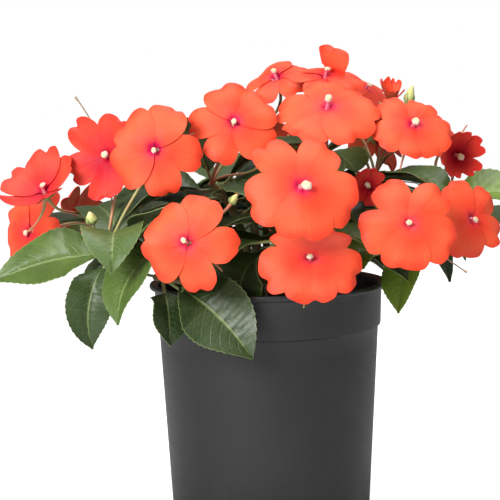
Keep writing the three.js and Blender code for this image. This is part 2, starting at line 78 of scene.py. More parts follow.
def make_camera():
    forward = Vector((0, math.cos(LOOKS_DOWN), -math.sin(LOOKS_DOWN)))
    up = Vector((0, math.sin(LOOKS_DOWN), math.cos(LOOKS_DOWN)))
    right = Vector((1, 0, 0))
    across = right * math.cos(LEANS) - up * math.sin(LEANS)
    upright = right * math.sin(LEANS) + up * math.cos(LEANS)
    data = bpy.data.cameras.new("camera")
    data.lens = data.sensor_width * FOCAL_PIXELS / PICTURE_WIDTH
    camera = bpy.data.objects.new("camera", data)
    bpy.context.scene.collection.objects.link(camera)
    turn = Matrix((across, upright, -forward)).transposed().to_4x4()
    camera.matrix_world = Matrix.Translation(CAMERA_AT) @ turn
    bpy.context.scene.camera = camera
    return camera


camera = make_camera()
print("lens", round(camera.data.lens, 1), "mm")

# %% [markdown]
# ## The plan of the plant
# A real impatiens branches from its crown, and each branch ends in a whorl of leaves with the
# flower stalks above it. The plant could be modelled leaf by leaf with the mouse, but then nobody
# could change it again. Here stems, blooms, buds and leaves are rows of plain measures in
# millimetres, and what the eye can't tell apart is placed by a rule. The rule's numbers look
# drawn by lot, but they come from one seed and are the same in every run.

# %% Draws and directions
PETIOLE = 13
SOIL_TOP = 152
STEM_DEPTH = 24
BLADE_THICKNESS = 0.65
BLADE_WIDEST = 0.44
HUB_LENGTH = 9
SEED = 0.37
GOLDEN = 0.6180339887498949
UP = Vector((0, 0, 1))


def draw(n):
    """A number from 0 to 1 that is always the same for the same n."""
    return (SEED + n * GOLDEN) % 1


def spread(n, reach):
    return (2 * draw(n) - 1) * reach


def heading(azimuth):
    """A level direction. Azimuth 0 looks at the camera, and 90 to the picture's right."""
    return Vector((math.sin(math.radians(azimuth)), -math.cos(math.radians(azimuth)), 0))


def facing(azimuth, rise):
    return heading(azimuth) * math.cos(math.radians(rise)) + UP * math.sin(math.radians(rise))


print("first draws:", [round(draw(n), 3) for n in range(4)])

# %% [markdown]
# ## Where the stems go
# A stem starts level with the soil, rises steeply and leans outwards, so its path is a curve with
# one knee. Three points are enough for such a curve: foot, knee and tip. The foot and the knee
# follow from the tip, which keeps the table short.

# %% Stems
# name: tip, distance of the foot from the pot's axis, leaves in the low and in the top whorl
STEMS = {
    "left_front": ((-106, -68, 206), 30, 0, 2),
    "left": ((-122, -8, 220), 32, 0, 2),
    "front_left": ((-58, -78, 214), 22, 0, 1),
    "rim_left": ((-74, -84, 190), 42, 0, 0),
    "front": ((6, -74, 214), 28, 0, 2),
    "front_right": ((90, -70, 206), 30, 0, 1),
    "right": ((120, -24, 220), 32, 0, 0),
    "top_left": ((-38, -40, 248), 12, 1, 3),
    "top": ((28, -26, 262), 10, 1, 3),
    "top_right": ((76, -8, 250), 18, 1, 3),
    "back_left": ((-84, 62, 226), 30, 1, 3),
    "back": ((0, 98, 220), 30, 1, 3),
    "back_right": ((86, 62, 226), 30, 1, 3),
    "top_back": ((-18, 34, 258), 12, 1, 3),
}


def tip_of(stem):
    return Vector(STEMS[stem][0])


def outward(stem):
    tip = tip_of(stem)
    return math.degrees(math.atan2(tip.x, -tip.y))


def foot_of(stem):
    return heading(outward(stem)) * STEMS[stem][1]


def quadratic(start, middle, end, steps):
    shares = [i / steps for i in range(steps + 1)]
    return [start * (1 - t) ** 2 + middle * 2 * t * (1 - t) + end * t * t for t in shares]


def cubic(a, b, c, d, steps):
    points = []
    for t in (i / steps for i in range(steps + 1)):
        r = 1 - t
        points.append(a * r ** 3 + b * 3 * t * r ** 2 + c * 3 * t * t * r + d * t ** 3)
    return points


def stem_path(stem, steps):
    foot = foot_of(stem)
    foot.z = SOIL_TOP + 4
    knee = foot.lerp(tip_of(stem), 0.15)
    knee.z = SOIL_TOP + 0.75 * (tip_of(stem).z - SOIL_TOP)
    return quadratic(foot, knee, tip_of(stem), steps)


print("stems:", len(STEMS))

# %% [markdown]
# ## Where the blooms go
# The blooms that face the camera are rows of their own, as each stands, turns and bends in its own
# way. The ones behind are two rings of similar blooms, so a short rule places them. Every bloom
# gets a frame of its own, with z out of its face, and all its parts are then made flat on z.

# %% Blooms
# stem, centre, azimuth and rise of the face, roll, width, how far the petals bend back, how far the
# top petal is lifted, how deep the red is, mostly painted shade with a little of the petals' own
# tone, and how large the anther cap is
FRONT_BLOOMS = [
    ("left_front", (-71, -102, 273), -8, 8, 50, 57, 0.09, 0, 0.02, 0.7),
    ("left_front", (-105, -66, 268), -24, 4, -100, 55, -0.1, 0, 0.75, 1.0),
    ("left", (-148, -60, 246), -30, 50, 20, 51, -0.24, 0, 0.62, 0.8),
    ("left", (-165, -22, 216), -40, 2, 120, 58, 0.09, 0, 0.15, 0.75),
    ("front_left", (-51, -125, 216), -14, 8, 50, 58, 0.09, 0, 0.03, 0.72),
    ("top_left", (-21, -85, 289), 2, 25, -60, 56, 0.09, 0, 0.05, 0.75),
    ("front", (19, -145, 250), 6, 20, 180, 67, 0.09, 0, 0.0, 1.2),
    ("front", (25, -128, 205), 6, 38, 175, 62, 0.09, 0, 0.06, 0.78),
    ("top", (39, -80, 297), 0, 52, 215, 67, 0.09, 0, 0.0, 1.05),
    ("top_left", (8, -6, 319), -30, 58, 30, 48, 0.09, 0, 0.1, 0.85),
    ("top", (41, -30, 319), 8, 70, -60, 53, 0.05, 94, 0.18, 0.9),
    ("top_right", (73, 26, 311), 50, 50, 80, 52, 0.09, 0, 0.2, 0.8),
    ("top_right", (94, -82, 285), 12, 36, 180, 51, 0.09, 0, 0.04, 1.1),
    ("right", (127, -42, 264), 10, 2, 10, 31, -0.5, 0, 1.0, 1.0),
    ("right", (132, 12, 272), 40, 38, 90, 48, 0.09, 0, 0.25, 0.8),
    ("front_right", (86, -124, 225), 8, 22, 170, 61, 0.09, 0, 0.02, 0.75),
    ("right", (131, -80, 224), 26, 12, 95, 52, 0.09, 0, 0.06, 0.75),
    ("top", (67, -54, 244), 4, 6, 40, 25, -0.3, 0, 0.9, 0.8),
    ("top_right", (88, 0, 303), 10, 66, 30, 18, -0.6, 0, 0.12, 0.5),
]
BACK_TIERS = [
    {"count": 5, "from": 112, "to": 248, "reach": 152, "height": 222, "rise": 12, "size": 60},
    {"count": 4, "from": 132, "to": 236, "reach": 108, "height": 276, "rise": 44, "size": 58},
]
BLOOM_KEYS = ("stem", "at", "azimuth", "rise", "roll", "size", "reflex", "lift", "deep_red_and_shade", "cap")


def plan_blooms():
    blooms = [dict(zip(BLOOM_KEYS, row)) for row in FRONT_BLOOMS]
    count = 0
    for tier in BACK_TIERS:
        for i in range(tier["count"]):
            count += 1
            step = (tier["to"] - tier["from"]) / (tier["count"] - 1)
            azimuth = tier["from"] + step * i + spread(count, 3)
            at = heading(azimuth) * (tier["reach"] + spread(count + 4, 4))
            at.z = tier["height"] + spread(count + 9, 6)
            stem = min(STEMS, key=lambda name: (tip_of(name) - at).length)
            size = tier["size"] + spread(count + 7, 4)
            rise = tier["rise"] + spread(count, 8)
            deep_red_and_shade, cap = 0.15 * draw(count + 2), 0.7 + 0.45 * draw(count + 5)
            row = (stem, at, azimuth, rise, 360 * draw(count), size, 0.09, 0, deep_red_and_shade, cap)
            blooms.append(dict(zip(BLOOM_KEYS, row)))
    for number, bloom in enumerate(blooms, 1):
        bloom["name"] = f"bloom_{number:02d}"
        bloom["at"] = Vector(bloom["at"])
    return blooms


def bloom_frame(bloom):
    """The place and turn of a bloom: z out of its face, y towards its upper petal."""
    out = facing(bloom["azimuth"], bloom["rise"])
    top = (UP - out * UP.dot(out)).normalized()
    top = Matrix.Rotation(math.radians(bloom["roll"]), 3, out) @ top
    turn = Matrix((top.cross(out), top, out)).transposed().to_4x4()
    return Matrix.Translation(bloom["at"]) @ turn


blooms = plan_blooms()
print("blooms:", len(blooms))

# %% [markdown]
# ## Where the leaves go
# Leaves stand in whorls on the stem, and each is a stalk, a length, a width and a bend. The large
# leaves at the front have rows of their own and the rest follow a rule. In a real plant leaves push
# each other aside. The frame did the same, so a planned leaf may stand there a little turned.

# %% Leaves
# stem, place along it, heading, rise, bend, length, width, roll, and how young it looks
FRONT_LEAVES = [
    ("front_left", 0.92, -58, -8, 86, 68, 48, 8, 0.6),
    ("left_front", 0.9, -93, 0, 26, 80, 44, 46, 0.6),
    ("left_front", 0.95, 2, 42, 124, 60, 41, -4, 0.5),
    ("left_front", 0.97, -50, -50, 60, 56, 32, 60, 0.2),
    ("rim_left", 0.94, 66, -26, 30, 68, 48, -58, 0.16),
    ("rim_left", 0.94, 14, -28, 50, 36, 34, 30, 0.08),
    ("front", 0.86, -92, -8, 84, 48, 44, 58, 0.36),
    ("top_left", 0.9, 38, 20, 60, 66, 42, -35, 0.22),
    ("top_left", 0.8, -96, 16, 40, 66, 38, 40, 0.2),
    ("top_left", 0.94, -34, 62, 40, 60, 30, 0, 0.3),
    ("right", 0.86, -40, -54, 24, 51, 32, -14, 1.0),
    ("front_right", 0.94, -72, 0, 50, 54, 36, 44, 0.85),
    ("right", 0.94, 62, 54, 70, 66, 40, -30, 0.8),
    ("right", 0.91, 118, 16, 62, 78, 42, 0, 0.4),
    ("right", 0.9, -142, 24, 62, 74, 40, 8, 0.3),
    ("right", 0.92, -66, 10, 62, 70, 38, 0, 0.35),
    ("top_right", 0.84, 20, 10, 60, 64, 34, 12, 0.2),
    ("top", 0.8, 30, 6, 50, 62, 34, -30, 0.3),
]
LEAF_KEYS = ("stem", "at", "azimuth", "rise", "bend", "length", "width", "roll", "young")


def plan_leaves():
    rows = list(FRONT_LEAVES)
    count = 0
    for order, stem in enumerate(STEMS):
        low, top = STEMS[stem][2:]
        for k in range(top):
            count += 1
            turn = 360 * (k + 0.5) / top + 45 * (order % 2) + spread(count, 16)
            rise = 26 + spread(count, 10)
            length = 76 + spread(count + 5, 9)
            roll = spread(count + 2, 14)
            width = length * 0.54
            young = 0.15 + 0.45 * draw(count + 3)
            rows.append((stem, 0.91, outward(stem) + turn, rise, 62, length, width, roll, young))
        for k in range(low):
            count += 1
            turn = (k - (low - 1) / 2) * 74 + spread(count, 14)
            rise = 16 + spread(count + 3, 8)
            length = 80 + spread(count, 6)
            roll = spread(count, 12)
            young = 0.1 + 0.3 * draw(count + 3)
            rows.append((stem, 0.66, outward(stem) + turn, rise, 64, length, 42, roll, young))
    return [dict(zip(LEAF_KEYS, row)) for row in rows]


def bends_of(leaf):
    """The ways a leaf may have been bent clear of its neighbours, in order."""
    for scale in (1, 0.8):
        for rise in (0, -14, 14, -28, 28):
            for turn in (0, 13, -13, 26, -26):
                yield {
                    **leaf,
                    "azimuth": leaf["azimuth"] + turn,
                    "rise": leaf["rise"] + rise,
                    "length": leaf["length"] * scale,
                    "width": leaf["width"] * scale,
                }


leaf_plan = plan_leaves()
print("leaves planned:", len(leaf_plan))

# %% [markdown]
# ## The surface of a leaf
# A leaf is a stalk and then a blade that bends down along an arc, folds a little at its midrib and
# may roll over. A curve modifier could bend it, but then a coarse and a fine leaf would bend in two
# ways. Here the surface is one function of the place along the blade, 0 at the base and 1 at the
# tip, and of the distance from the midrib. It serves every leaf, coarse or fine.

# %% Leaf surface
LEAF_FOLD = 14
LEAF_WAVE = 0.05


def leaf_root(leaf):
    """The place on the stem's axis where a leaf springs, a little towards the leaf."""
    path = stem_path(leaf["stem"], 5)
    step = min(4, int(leaf["at"] * 5))
    return path[step].lerp(path[step + 1], leaf["at"] * 5 - step) + heading(leaf["azimuth"]) * 0.8


def leaf_axes(leaf):
    ahead = np.array(heading(leaf["azimuth"]))
    return ahead, np.cross(ahead, (0, 0, 1))


def leaf_sheet(leaf, along, half, up=0.0):
    """Points of a blade: along from 0 to 1, half its signed distance from the midrib in mm."""
    ahead, side = leaf_axes(leaf)
    above = np.array((0.0, 0.0, 1.0))
    rise, bend = math.radians(leaf["rise"]), math.radians(leaf["bend"])
    root = np.array(leaf_root(leaf)) + PETIOLE * (ahead * math.cos(rise) + above * math.sin(rise))
    along, half = np.broadcast_arrays(np.asarray(along, float), np.asarray(half, float))
    angle = rise - bend * along
    radius = leaf["length"] / bend
    point = root + np.outer(radius * (math.sin(rise) - np.sin(angle)), ahead)
    point += np.outer(radius * (np.cos(angle) - math.cos(rise)), above)
    tangent = np.outer(np.cos(angle), ahead) + np.outer(np.sin(angle), above)
    sides = np.tile(side, (len(along), 1))
    normal = np.cross(sides, tangent)
    roll = -math.radians(leaf["roll"]) * np.minimum(1, 3 * along)
    c, s = np.cos(roll)[:, None], np.sin(roll)[:, None]
    sides = sides * c + np.cross(tangent, sides) * s
    normal = normal * c + np.cross(tangent, normal) * s
    fold = math.radians(LEAF_FOLD) * np.minimum(1, 4 * along)
    share = half / max(leaf["width"] / 2, 1)
    wave = LEAF_WAVE * leaf["width"] * np.sin(3 * math.pi * along + leaf["length"])
    wave = wave * np.clip(share, -1, 1) ** 2 * np.minimum(1, 4 * along)
    lift = np.abs(half) * np.sin(fold) + wave + up
    return point + sides * (half * np.cos(fold))[:, None] + normal * lift[:, None]


def blade_half_width(leaf, along):
    power = BLADE_WIDEST / (1 - BLADE_WIDEST)
    peak = BLADE_WIDEST ** power * (1 - BLADE_WIDEST)
    return leaf["width"] / 2 * along ** power * (1 - along) / peak


print("a leaf has", len(LEAF_KEYS), "measures")

# %% [markdown]
# ## Fitting the leaves to the frame
# A fine leaf has to lie where the frame's plain leaf lies. The frame doesn't say how it bent a leaf,
# but the tip of each leaf is a corner of its mesh. So every bend is tried in the frame's own order,
# and the first whose tip is found among the corners is the right one.

# %% Find how the frame bent each leaf
TIP_REACH = 0.05 * MM


def mesh_points(node):
    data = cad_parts[node].data
    points = np.empty(len(data.vertices) * 3)
    data.vertices.foreach_get("co", points)
    return points.reshape(-1, 3)


def settle_leaves(plan):
    """Keeps the leaves whose tip is in the frame's stem, bent as they are there."""
    trees = {}
    for stem in STEMS:
        points = mesh_points("stem_" + stem)
        trees[stem] = KDTree(len(points))
        for i, point in enumerate(points):
            trees[stem].insert(point, i)
        trees[stem].balance()
    settled = []
    for leaf in plan:
        for bent in bends_of(leaf):
            faces = (-BLADE_THICKNESS / 2, BLADE_THICKNESS / 2)
            tip = [leaf_sheet(bent, [1.0], [0.0], up)[0] * MM for up in faces]
            if max(trees[leaf["stem"]].find(point)[2] for point in tip) < TIP_REACH:
                settled.append(bent)
                break
    return settled


leaves = settle_leaves(leaf_plan)
print("leaves that the frame holds:", len(leaves))

# %% [markdown]
# ## How the finishes are made
# Each finish is a small tree of nodes that ends in one shader. A few helpers keep the trees short:
# one adds a node, one does sums, one mixes two colours, and one turns a number into a colour by a
# ramp. Painted pictures could be wrapped round the pieces instead, but noise has no seams and
# stays sharp from near. Patterns read the piece's own UV map,
# so veins run along a leaf wherever it points, or the object's own coordinates in metres.

# %% Helpers for finishes
def add_node(tree, kind, settings=(), **values):
    made = tree.nodes.new("ShaderNode" + kind)
    for key, value in dict(settings).items():
        setattr(made, key, value)
    for key, value in values.items():
        plug(tree, made.inputs[key.replace("_", " ")], value)
    return made


def plug(tree, socket, value):
    if isinstance(value, bpy.types.NodeSocket):
        tree.links.new(value, socket)
    elif isinstance(value, tuple) and len(value) == 3 and socket.type == "RGBA":
        socket.default_value = (*value, 1)
    else:
        socket.default_value = value


def sums(tree, operation, *values):
    made = tree.nodes.new("ShaderNodeMath")
    made.operation = operation
    for socket, value in zip(made.inputs, values):
        plug(tree, socket, value)
    return made.outputs[0]


def mixed(tree, share, first, second, blend="MIX"):
    made = tree.nodes.new("ShaderNodeMix")
    made.data_type, made.blend_type = "RGBA", blend
    for index, value in ((0, share), (6, first), (7, second)):
        plug(tree, made.inputs[index], value)
    return made.outputs[2]


def ramp(tree, share, *stops):
    made = tree.nodes.new("ShaderNodeValToRGB")
    made.color_ramp.interpolation = "EASE"
    elements = made.color_ramp.elements
    while len(elements) < len(stops):
        elements.new(0.5)
    for element, (place, colour) in zip(elements, stops):
        element.position = place
        element.color = (*colour, 1) if isinstance(colour, tuple) else (colour, colour, colour, 1)
    plug(tree, made.inputs[0], share)
    return made.outputs[0]


def noise_of(tree, vector, scale, detail=2.0, roughness=0.5):
    values = {"Scale": scale, "Detail": detail, "Roughness": roughness}
    return add_node(tree, "TexNoise", Vector=vector, **values).outputs["Fac"]


def new_finish(name):
    material = bpy.data.materials.new(name)
    material.use_nodes = True
    tree = material.node_tree
    return material, tree, tree.nodes["Principled BSDF"]


def place_of(tree):
    return add_node(tree, "TexCoord").outputs["Object"]


def uv_of(tree):
    """The UV map's two numbers: across the piece, and along it."""
    chart = add_node(tree, "UVMap", {"uv_map": "UVMap"}).outputs[0]
    parts = add_node(tree, "SeparateXYZ", Vector=chart)
    return parts.outputs[0], parts.outputs[1]


def own_number(tree, name):
    return add_node(tree, "Attribute", {"attribute_name": name}).outputs["Fac"]


def bumped(tree, shader, height, distance, strength=1.0):
    made = add_node(tree, "Bump", Height=height, Distance=distance, Strength=strength)
    tree.links.new(made.outputs[0], shader.inputs["Normal"])


def constants(shader, **values):
    for key, value in values.items():
        shader.inputs[key.replace("_", " ")].default_value = value


print("finish helpers ready")

# %% [markdown]
# ## Petal finish
# A coral petal is nearly flat in colour from afar, and close to it has a magenta claw, a redder
# zone round the eye, an orange glow towards its edge and hair-fine streaks along its length. The
# streaks are noise that is stretched along the UV map. Its back is paler. Each flower also has its
# own number, which paints shade on cupped and downward petals as crimson, with a little uneven
# red of their own.

# %% Petal finishes
def petal_finish(name, eye, zone, body, edge, crimson):
    material, tree, shader = new_finish(name)
    across, along = uv_of(tree)
    streaked = add_node(tree, "CombineXYZ", X=sums(tree, "MULTIPLY", across, 24.0), Y=along)
    streaks = noise_of(tree, streaked.outputs[0], 2.0, 3.0, 0.6)
    cloud = noise_of(tree, place_of(tree), 45.0, 3.0, 0.55)
    uneven = sums(tree, "MULTIPLY_ADD", streaks, 0.14, sums(tree, "SUBTRACT", along, 0.07))
    rings = ((0.0, eye), (0.13, eye), (0.18, zone), (0.34, body), (0.75, edge), (1.0, body))
    colour = ramp(tree, uneven, *rings)
    colour = mixed(tree, ramp(tree, streaks, (0.42, 0.0), (0.75, 0.3)), colour, zone)
    colour = mixed(tree, ramp(tree, cloud, (0.35, 0.0), (0.7, 0.45)), colour, edge)
    fading = ramp(tree, along, (0.0, 1.0), (1.0, 0.55))
    # painted shade: the points' number mixes in crimson, most of all near the claw
    deep = sums(tree, "MULTIPLY", own_number(tree, "deep_red_and_shade"), fading)
    colour = mixed(tree, deep, colour, crimson)
    plug(tree, shader.inputs["Base Color"], colour)
    constants(shader, Roughness=0.5, Specular_IOR_Level=0.22, Sheen_Weight=0.05, Sheen_Roughness=0.4)
    bumped(tree, shader, streaks, 0.0004, 0.5)
    return material


# eye, zone round it, body, glow towards the edge, and the crimson of painted shade
FACE_COLOURS = (
    (0.55, 0.003, 0.075), (0.84, 0.03, 0.034), (0.86, 0.055, 0.018), (0.92, 0.104, 0.034),
    (0.44, 0.0015, 0.02),
)
BACK_COLOURS = (
    (0.7, 0.12, 0.09), (0.82, 0.06, 0.036), (0.87, 0.085, 0.036), (0.92, 0.13, 0.058),
    (0.42, 0.008, 0.012),
)
petal_face = petal_finish("petal_face", *FACE_COLOURS)
petal_back = petal_finish("petal_back", *BACK_COLOURS)
print("petal finishes:", petal_face.name, petal_back.name)

# %% [markdown]
# ## Leaf finish
# A leaf has a pale midrib, and side veins that leave it at a slant and sweep forward to the edge.
# The distance to the nearest vein comes from the two UV numbers: along minus a part that grows
# with the distance from the midrib. Young leaves are yellow-green, old ones dark, and the
# underside is a paler grey-green.

# %% Leaf finishes
VEINS = 9
VEIN_SWEEP = 0.26


def vein_lines(tree, off, along, cloud):
    """How near each place is to a side vein, and the veins and the midrib as one pattern."""
    swept = sums(tree, "MULTIPLY", sums(tree, "POWER", off, 1.3), -VEIN_SWEEP)
    order = sums(tree, "MULTIPLY", sums(tree, "ADD", along, swept), float(VEINS))
    near = sums(tree, "ABSOLUTE", sums(tree, "SUBTRACT", sums(tree, "FRACT", order), 0.5))
    side_vein = ramp(tree, near, (0.44, 0.0), (0.495, 1.0))
    fading = ramp(tree, off, (0.0, 0.75), (0.9, 0.2))
    broken = ramp(tree, cloud, (0.3, 0.3), (0.6, 1.0))
    side_lines = sums(tree, "MULTIPLY", sums(tree, "MULTIPLY", side_vein, fading), broken)
    midrib = ramp(tree, off, (0.0, 1.0), (0.02, 0.9), (0.06, 0.0))
    return near, sums(tree, "MAXIMUM", midrib, side_lines)


def vein_net(tree, across, along):
    """The fine net between the veins, as the edges of many small cells."""
    wide, long = sums(tree, "MULTIPLY", across, 26.0), sums(tree, "MULTIPLY", along, 50.0)
    chart = add_node(tree, "CombineXYZ", X=wide, Y=long).outputs[0]
    cells = add_node(tree, "TexVoronoi", {"feature": "DISTANCE_TO_EDGE"}, Vector=chart, Scale=1.0)
    return ramp(tree, cells.outputs["Distance"], (0.0, 0.3), (0.09, 0.0))


def leaf_finish(name, old, middle, fresh, vein, rough):
    material, tree, shader = new_finish(name)
    across, along = uv_of(tree)
    off = sums(tree, "ABSOLUTE", sums(tree, "MULTIPLY_ADD", across, 2.0, -1.0))
    place = place_of(tree)
    cloud = noise_of(tree, place, 55.0, 4.0, 0.6)
    grain = noise_of(tree, place, 900.0, 2.0, 0.5)
    near, lines = vein_lines(tree, off, along, cloud)
    patchy = sums(tree, "MULTIPLY_ADD", cloud, 0.3, -0.15)
    young = sums(tree, "ADD", own_number(tree, "young"), patchy)
    colour = ramp(tree, young, (0.0, old), (0.5, middle), (1.0, fresh))
    # painted shade in the sunken grooves beside the side veins, painted light on the raised skin
    shade = ramp(tree, near, (0.0, 1.06), (0.42, 0.9), (0.5, 0.96))
    colour = mixed(tree, 1.0, colour, shade, "MULTIPLY")
    net, rim = vein_net(tree, across, along), ramp(tree, off, (0.955, 0.0), (1.0, 0.6))
    for pattern, paleness in ((net, 0.3), (lines, 0.45), (rim, 0.7)):
        colour = mixed(tree, pattern, colour, mixed(tree, paleness, colour, vein))
    plug(tree, shader.inputs["Base Color"], colour)
    plug(tree, shader.inputs["Roughness"], sums(tree, "MULTIPLY_ADD", cloud, 0.25, rough))
    constants(shader, Specular_IOR_Level=0.45)
    height = sums(tree, "MULTIPLY_ADD", lines, -0.6, sums(tree, "MULTIPLY", grain, 0.25))
    bumped(tree, shader, height, 0.0005, 0.7)
    return material


# an old, a grown and a fresh leaf, and the veins
TOP_COLOURS = ((0.016, 0.034, 0.01), (0.058, 0.105, 0.02), (0.2, 0.32, 0.035), (0.3, 0.38, 0.13))
UNDER_COLOURS = ((0.06, 0.095, 0.04), (0.11, 0.16, 0.065), (0.24, 0.33, 0.09), (0.33, 0.38, 0.2))
leaf_top = leaf_finish("leaf_top", *TOP_COLOURS, rough=0.28)
leaf_under = leaf_finish("leaf_under", *UNDER_COLOURS, rough=0.5)
print("leaf finishes:", leaf_top.name, leaf_under.name)

# %% [markdown]
# ## Stalk, bud and anther finishes
# Fleshy stems are pale green and flush pink where the sun reaches them. Painting the flush by hand
# would take a map for each stem. A soft noise that mixes two colours gives it everywhere, so one
# function serves all stalks and anthers. A bud changes from green to cream along its length
# instead, so its finish follows its UV map.

# %% Stalk, bud and anther finishes
def soft_finish(name, first, second, scale, rough, grain=0.0):
    material, tree, shader = new_finish(name)
    place = place_of(tree)
    share = ramp(tree, noise_of(tree, place, scale, 3.0, 0.6), (0.35, 0.0), (0.65, 1.0))
    plug(tree, shader.inputs["Base Color"], mixed(tree, share, first, second))
    constants(shader, Roughness=rough)
    bumped(tree, shader, noise_of(tree, place, 900.0, 2.0), 0.0003, 0.3 + grain)
    return material


def along_finish(name, *stops):
    """A finish whose colour changes along the piece's own UV map."""
    material, tree, shader = new_finish(name)
    _, along = uv_of(tree)
    cloud = noise_of(tree, place_of(tree), 160.0, 3.0, 0.6)
    uneven = sums(tree, "ADD", along, sums(tree, "MULTIPLY_ADD", cloud, 0.3, -0.15))
    plug(tree, shader.inputs["Base Color"], ramp(tree, uneven, *stops))
    constants(shader, Roughness=0.45)
    bumped(tree, shader, cloud, 0.0003, 0.4)
    return material


stem_skin = soft_finish("stem_skin", (0.1, 0.17, 0.04), (0.3, 0.2, 0.09), 40.0, 0.42)
stalk_skin = soft_finish("stalk_skin", (0.42, 0.42, 0.16), (0.62, 0.2, 0.13), 50.0, 0.4)
leaf_stalk_skin = soft_finish("leaf_stalk_skin", (0.2, 0.28, 0.08), (0.34, 0.3, 0.13), 60.0, 0.42)
dry_skin = soft_finish("dry_skin", (0.42, 0.3, 0.2), (0.26, 0.18, 0.12), 90.0, 0.7, 0.4)
green_back = soft_finish("green_back", (0.2, 0.3, 0.08), (0.4, 0.42, 0.16), 120.0, 0.45)
anther_skin = soft_finish("anther_skin", (0.74, 0.66, 0.52), (0.6, 0.42, 0.34), 420.0, 0.55, 0.4)
pollen_skin = soft_finish("pollen_skin", (0.78, 0.66, 0.4), (0.62, 0.46, 0.2), 700.0, 0.8, 0.6)
column_skin = soft_finish("column_skin", (0.8, 0.3, 0.38), (0.72, 0.12, 0.2), 200.0, 0.45)
BUD_COLOURS = ((0.0, (0.16, 0.26, 0.05)), (0.45, (0.5, 0.52, 0.17)), (1.0, (0.8, 0.68, 0.35)))
bud_skin = along_finish("bud_skin", *BUD_COLOURS)
print("materials so far:", len(bpy.data.materials))

# %% [markdown]
# ## Pot and soil finishes
# The pot is moulded black plastic: satin, a little dusty towards its rim, with faint drag lines
# round it. The lines are noise squeezed along the height, and they change the roughness and the
# bump more than the colour, as scuffs do. Peat is a dark noise with pale specks from small cells.

# %% Pot and soil finishes
def pot_finish():
    material, tree, shader = new_finish("pot_black")
    place = place_of(tree)
    level = add_node(tree, "SeparateXYZ", Vector=place).outputs[2]
    dust = noise_of(tree, place, 22.0, 5.0, 0.62)
    squeezed = add_node(tree, "Mapping", Vector=place, Scale=(1.0, 1.0, 9.0)).outputs[0]
    scuffs = noise_of(tree, squeezed, 70.0, 4.0, 0.6)
    fine = noise_of(tree, place, 1400.0, 2.0)
    dusty = ramp(tree, dust, (0.4, 0.0), (0.8, 0.5))
    colour = mixed(tree, dusty, (0.011, 0.011, 0.012), (0.021, 0.02, 0.02))
    high = ramp(tree, sums(tree, "MULTIPLY_ADD", level, 40.0, -6.1), (0.0, 0.0), (1.0, 0.3))
    colour = mixed(tree, sums(tree, "MULTIPLY", high, scuffs), colour, (0.09, 0.087, 0.083))
    plug(tree, shader.inputs["Base Color"], colour)
    plug(tree, shader.inputs["Roughness"], sums(tree, "MULTIPLY_ADD", scuffs, 0.2, 0.32))
    constants(shader, Specular_IOR_Level=0.5)
    bumped(tree, shader, sums(tree, "MULTIPLY_ADD", fine, 0.4, scuffs), 0.0003, 0.35)
    return material


def soil_finish():
    material, tree, shader = new_finish("soil_peat")
    place = place_of(tree)
    crumbs = noise_of(tree, place, 260.0, 5.0, 0.7)
    specks = add_node(tree, "TexVoronoi", Vector=place, Scale=210.0).outputs["Distance"]
    damp, dry, speck = (0.012, 0.008, 0.006), (0.075, 0.045, 0.027), (0.32, 0.28, 0.22)
    colour = mixed(tree, ramp(tree, crumbs, (0.3, 0.0), (0.7, 1.0)), damp, dry)
    colour = mixed(tree, ramp(tree, specks, (0.1, 0.8), (0.16, 0.0)), colour, speck)
    plug(tree, shader.inputs["Base Color"], colour)
    constants(shader, Roughness=0.95)
    bumped(tree, shader, crumbs, 0.0015, 0.9)
    return material


pot_black = pot_finish()
soil_peat = soil_finish()
print("materials in all:", len(bpy.data.materials))

# %% [markdown]
# ## Helpers for pieces
# A piece that repeats is modelled once from a primitive. Its mesh is then copied for each place
# where it stands, and the copy's points are moved there, so the object itself stays at the origin.

# %% Helpers for pieces
def deselect():
    bpy.ops.object.select_all(action="DESELECT")


def pick(*pieces):
    deselect()
    for piece in pieces:
        piece.select_set(True)
    bpy.context.view_layer.objects.active = pieces[0]


def named(piece, name):
    piece.name = piece.data.name = name
    return piece


GRID_SIZE = 1000


def grid(name, columns, rows):
    """A flat grid of faces, 1000 mm wide, with a UV map, to be laid on a surface."""
    deselect()
    bpy.ops.mesh.primitive_grid_add(x_subdivisions=columns, y_subdivisions=rows, size=1)
    return named(bpy.context.active_object, name)


def points_of(piece):
    points = np.empty(len(piece.data.vertices) * 3)
    piece.data.vertices.foreach_get("co", points)
    return points.reshape(-1, 3)


def set_points(piece, points):
    piece.data.vertices.foreach_set("co", np.asarray(points, float).ravel())
    piece.data.update()


def copied(pattern, name):
    piece = pattern.copy()
    piece.data = pattern.data.copy()
    bpy.context.scene.collection.objects.link(piece)
    return named(piece, name)


def set_number(piece, name, value):
    made = piece.data.attributes.new(name, "FLOAT", "POINT")
    made.data.foreach_set("value", np.full(len(piece.data.vertices), value, np.float32))


def moved_by(piece, matrix):
    piece.data.transform(matrix)
    piece.data.update()
    return piece


def joined(name, pieces):
    pick(*pieces)
    if len(pieces) > 1:
        bpy.ops.object.join()
    return named(bpy.context.active_object, name)


def discard(*patterns):
    for pattern in patterns:
        bpy.data.objects.remove(pattern)


print("helpers for pieces ready")

# %% [markdown]
# ## From a sheet to a piece
# Petals and leaves are made as sheets without thickness, since a sheet is easy to bend. A solidify
# modifier then gives it two faces and an edge, and the face behind can take a finish of its own.
# Stalks are tubes: a curve with a round bevel, thinner where its points say so, is turned into a
# mesh. Last, each piece says on which body it rides and which plain solid it stands for.

# %% Helpers for finishing a piece
def finished(piece, *finishes):
    piece.data.materials.clear()
    for finish in finishes:
        piece.data.materials.append(finish)
    return piece


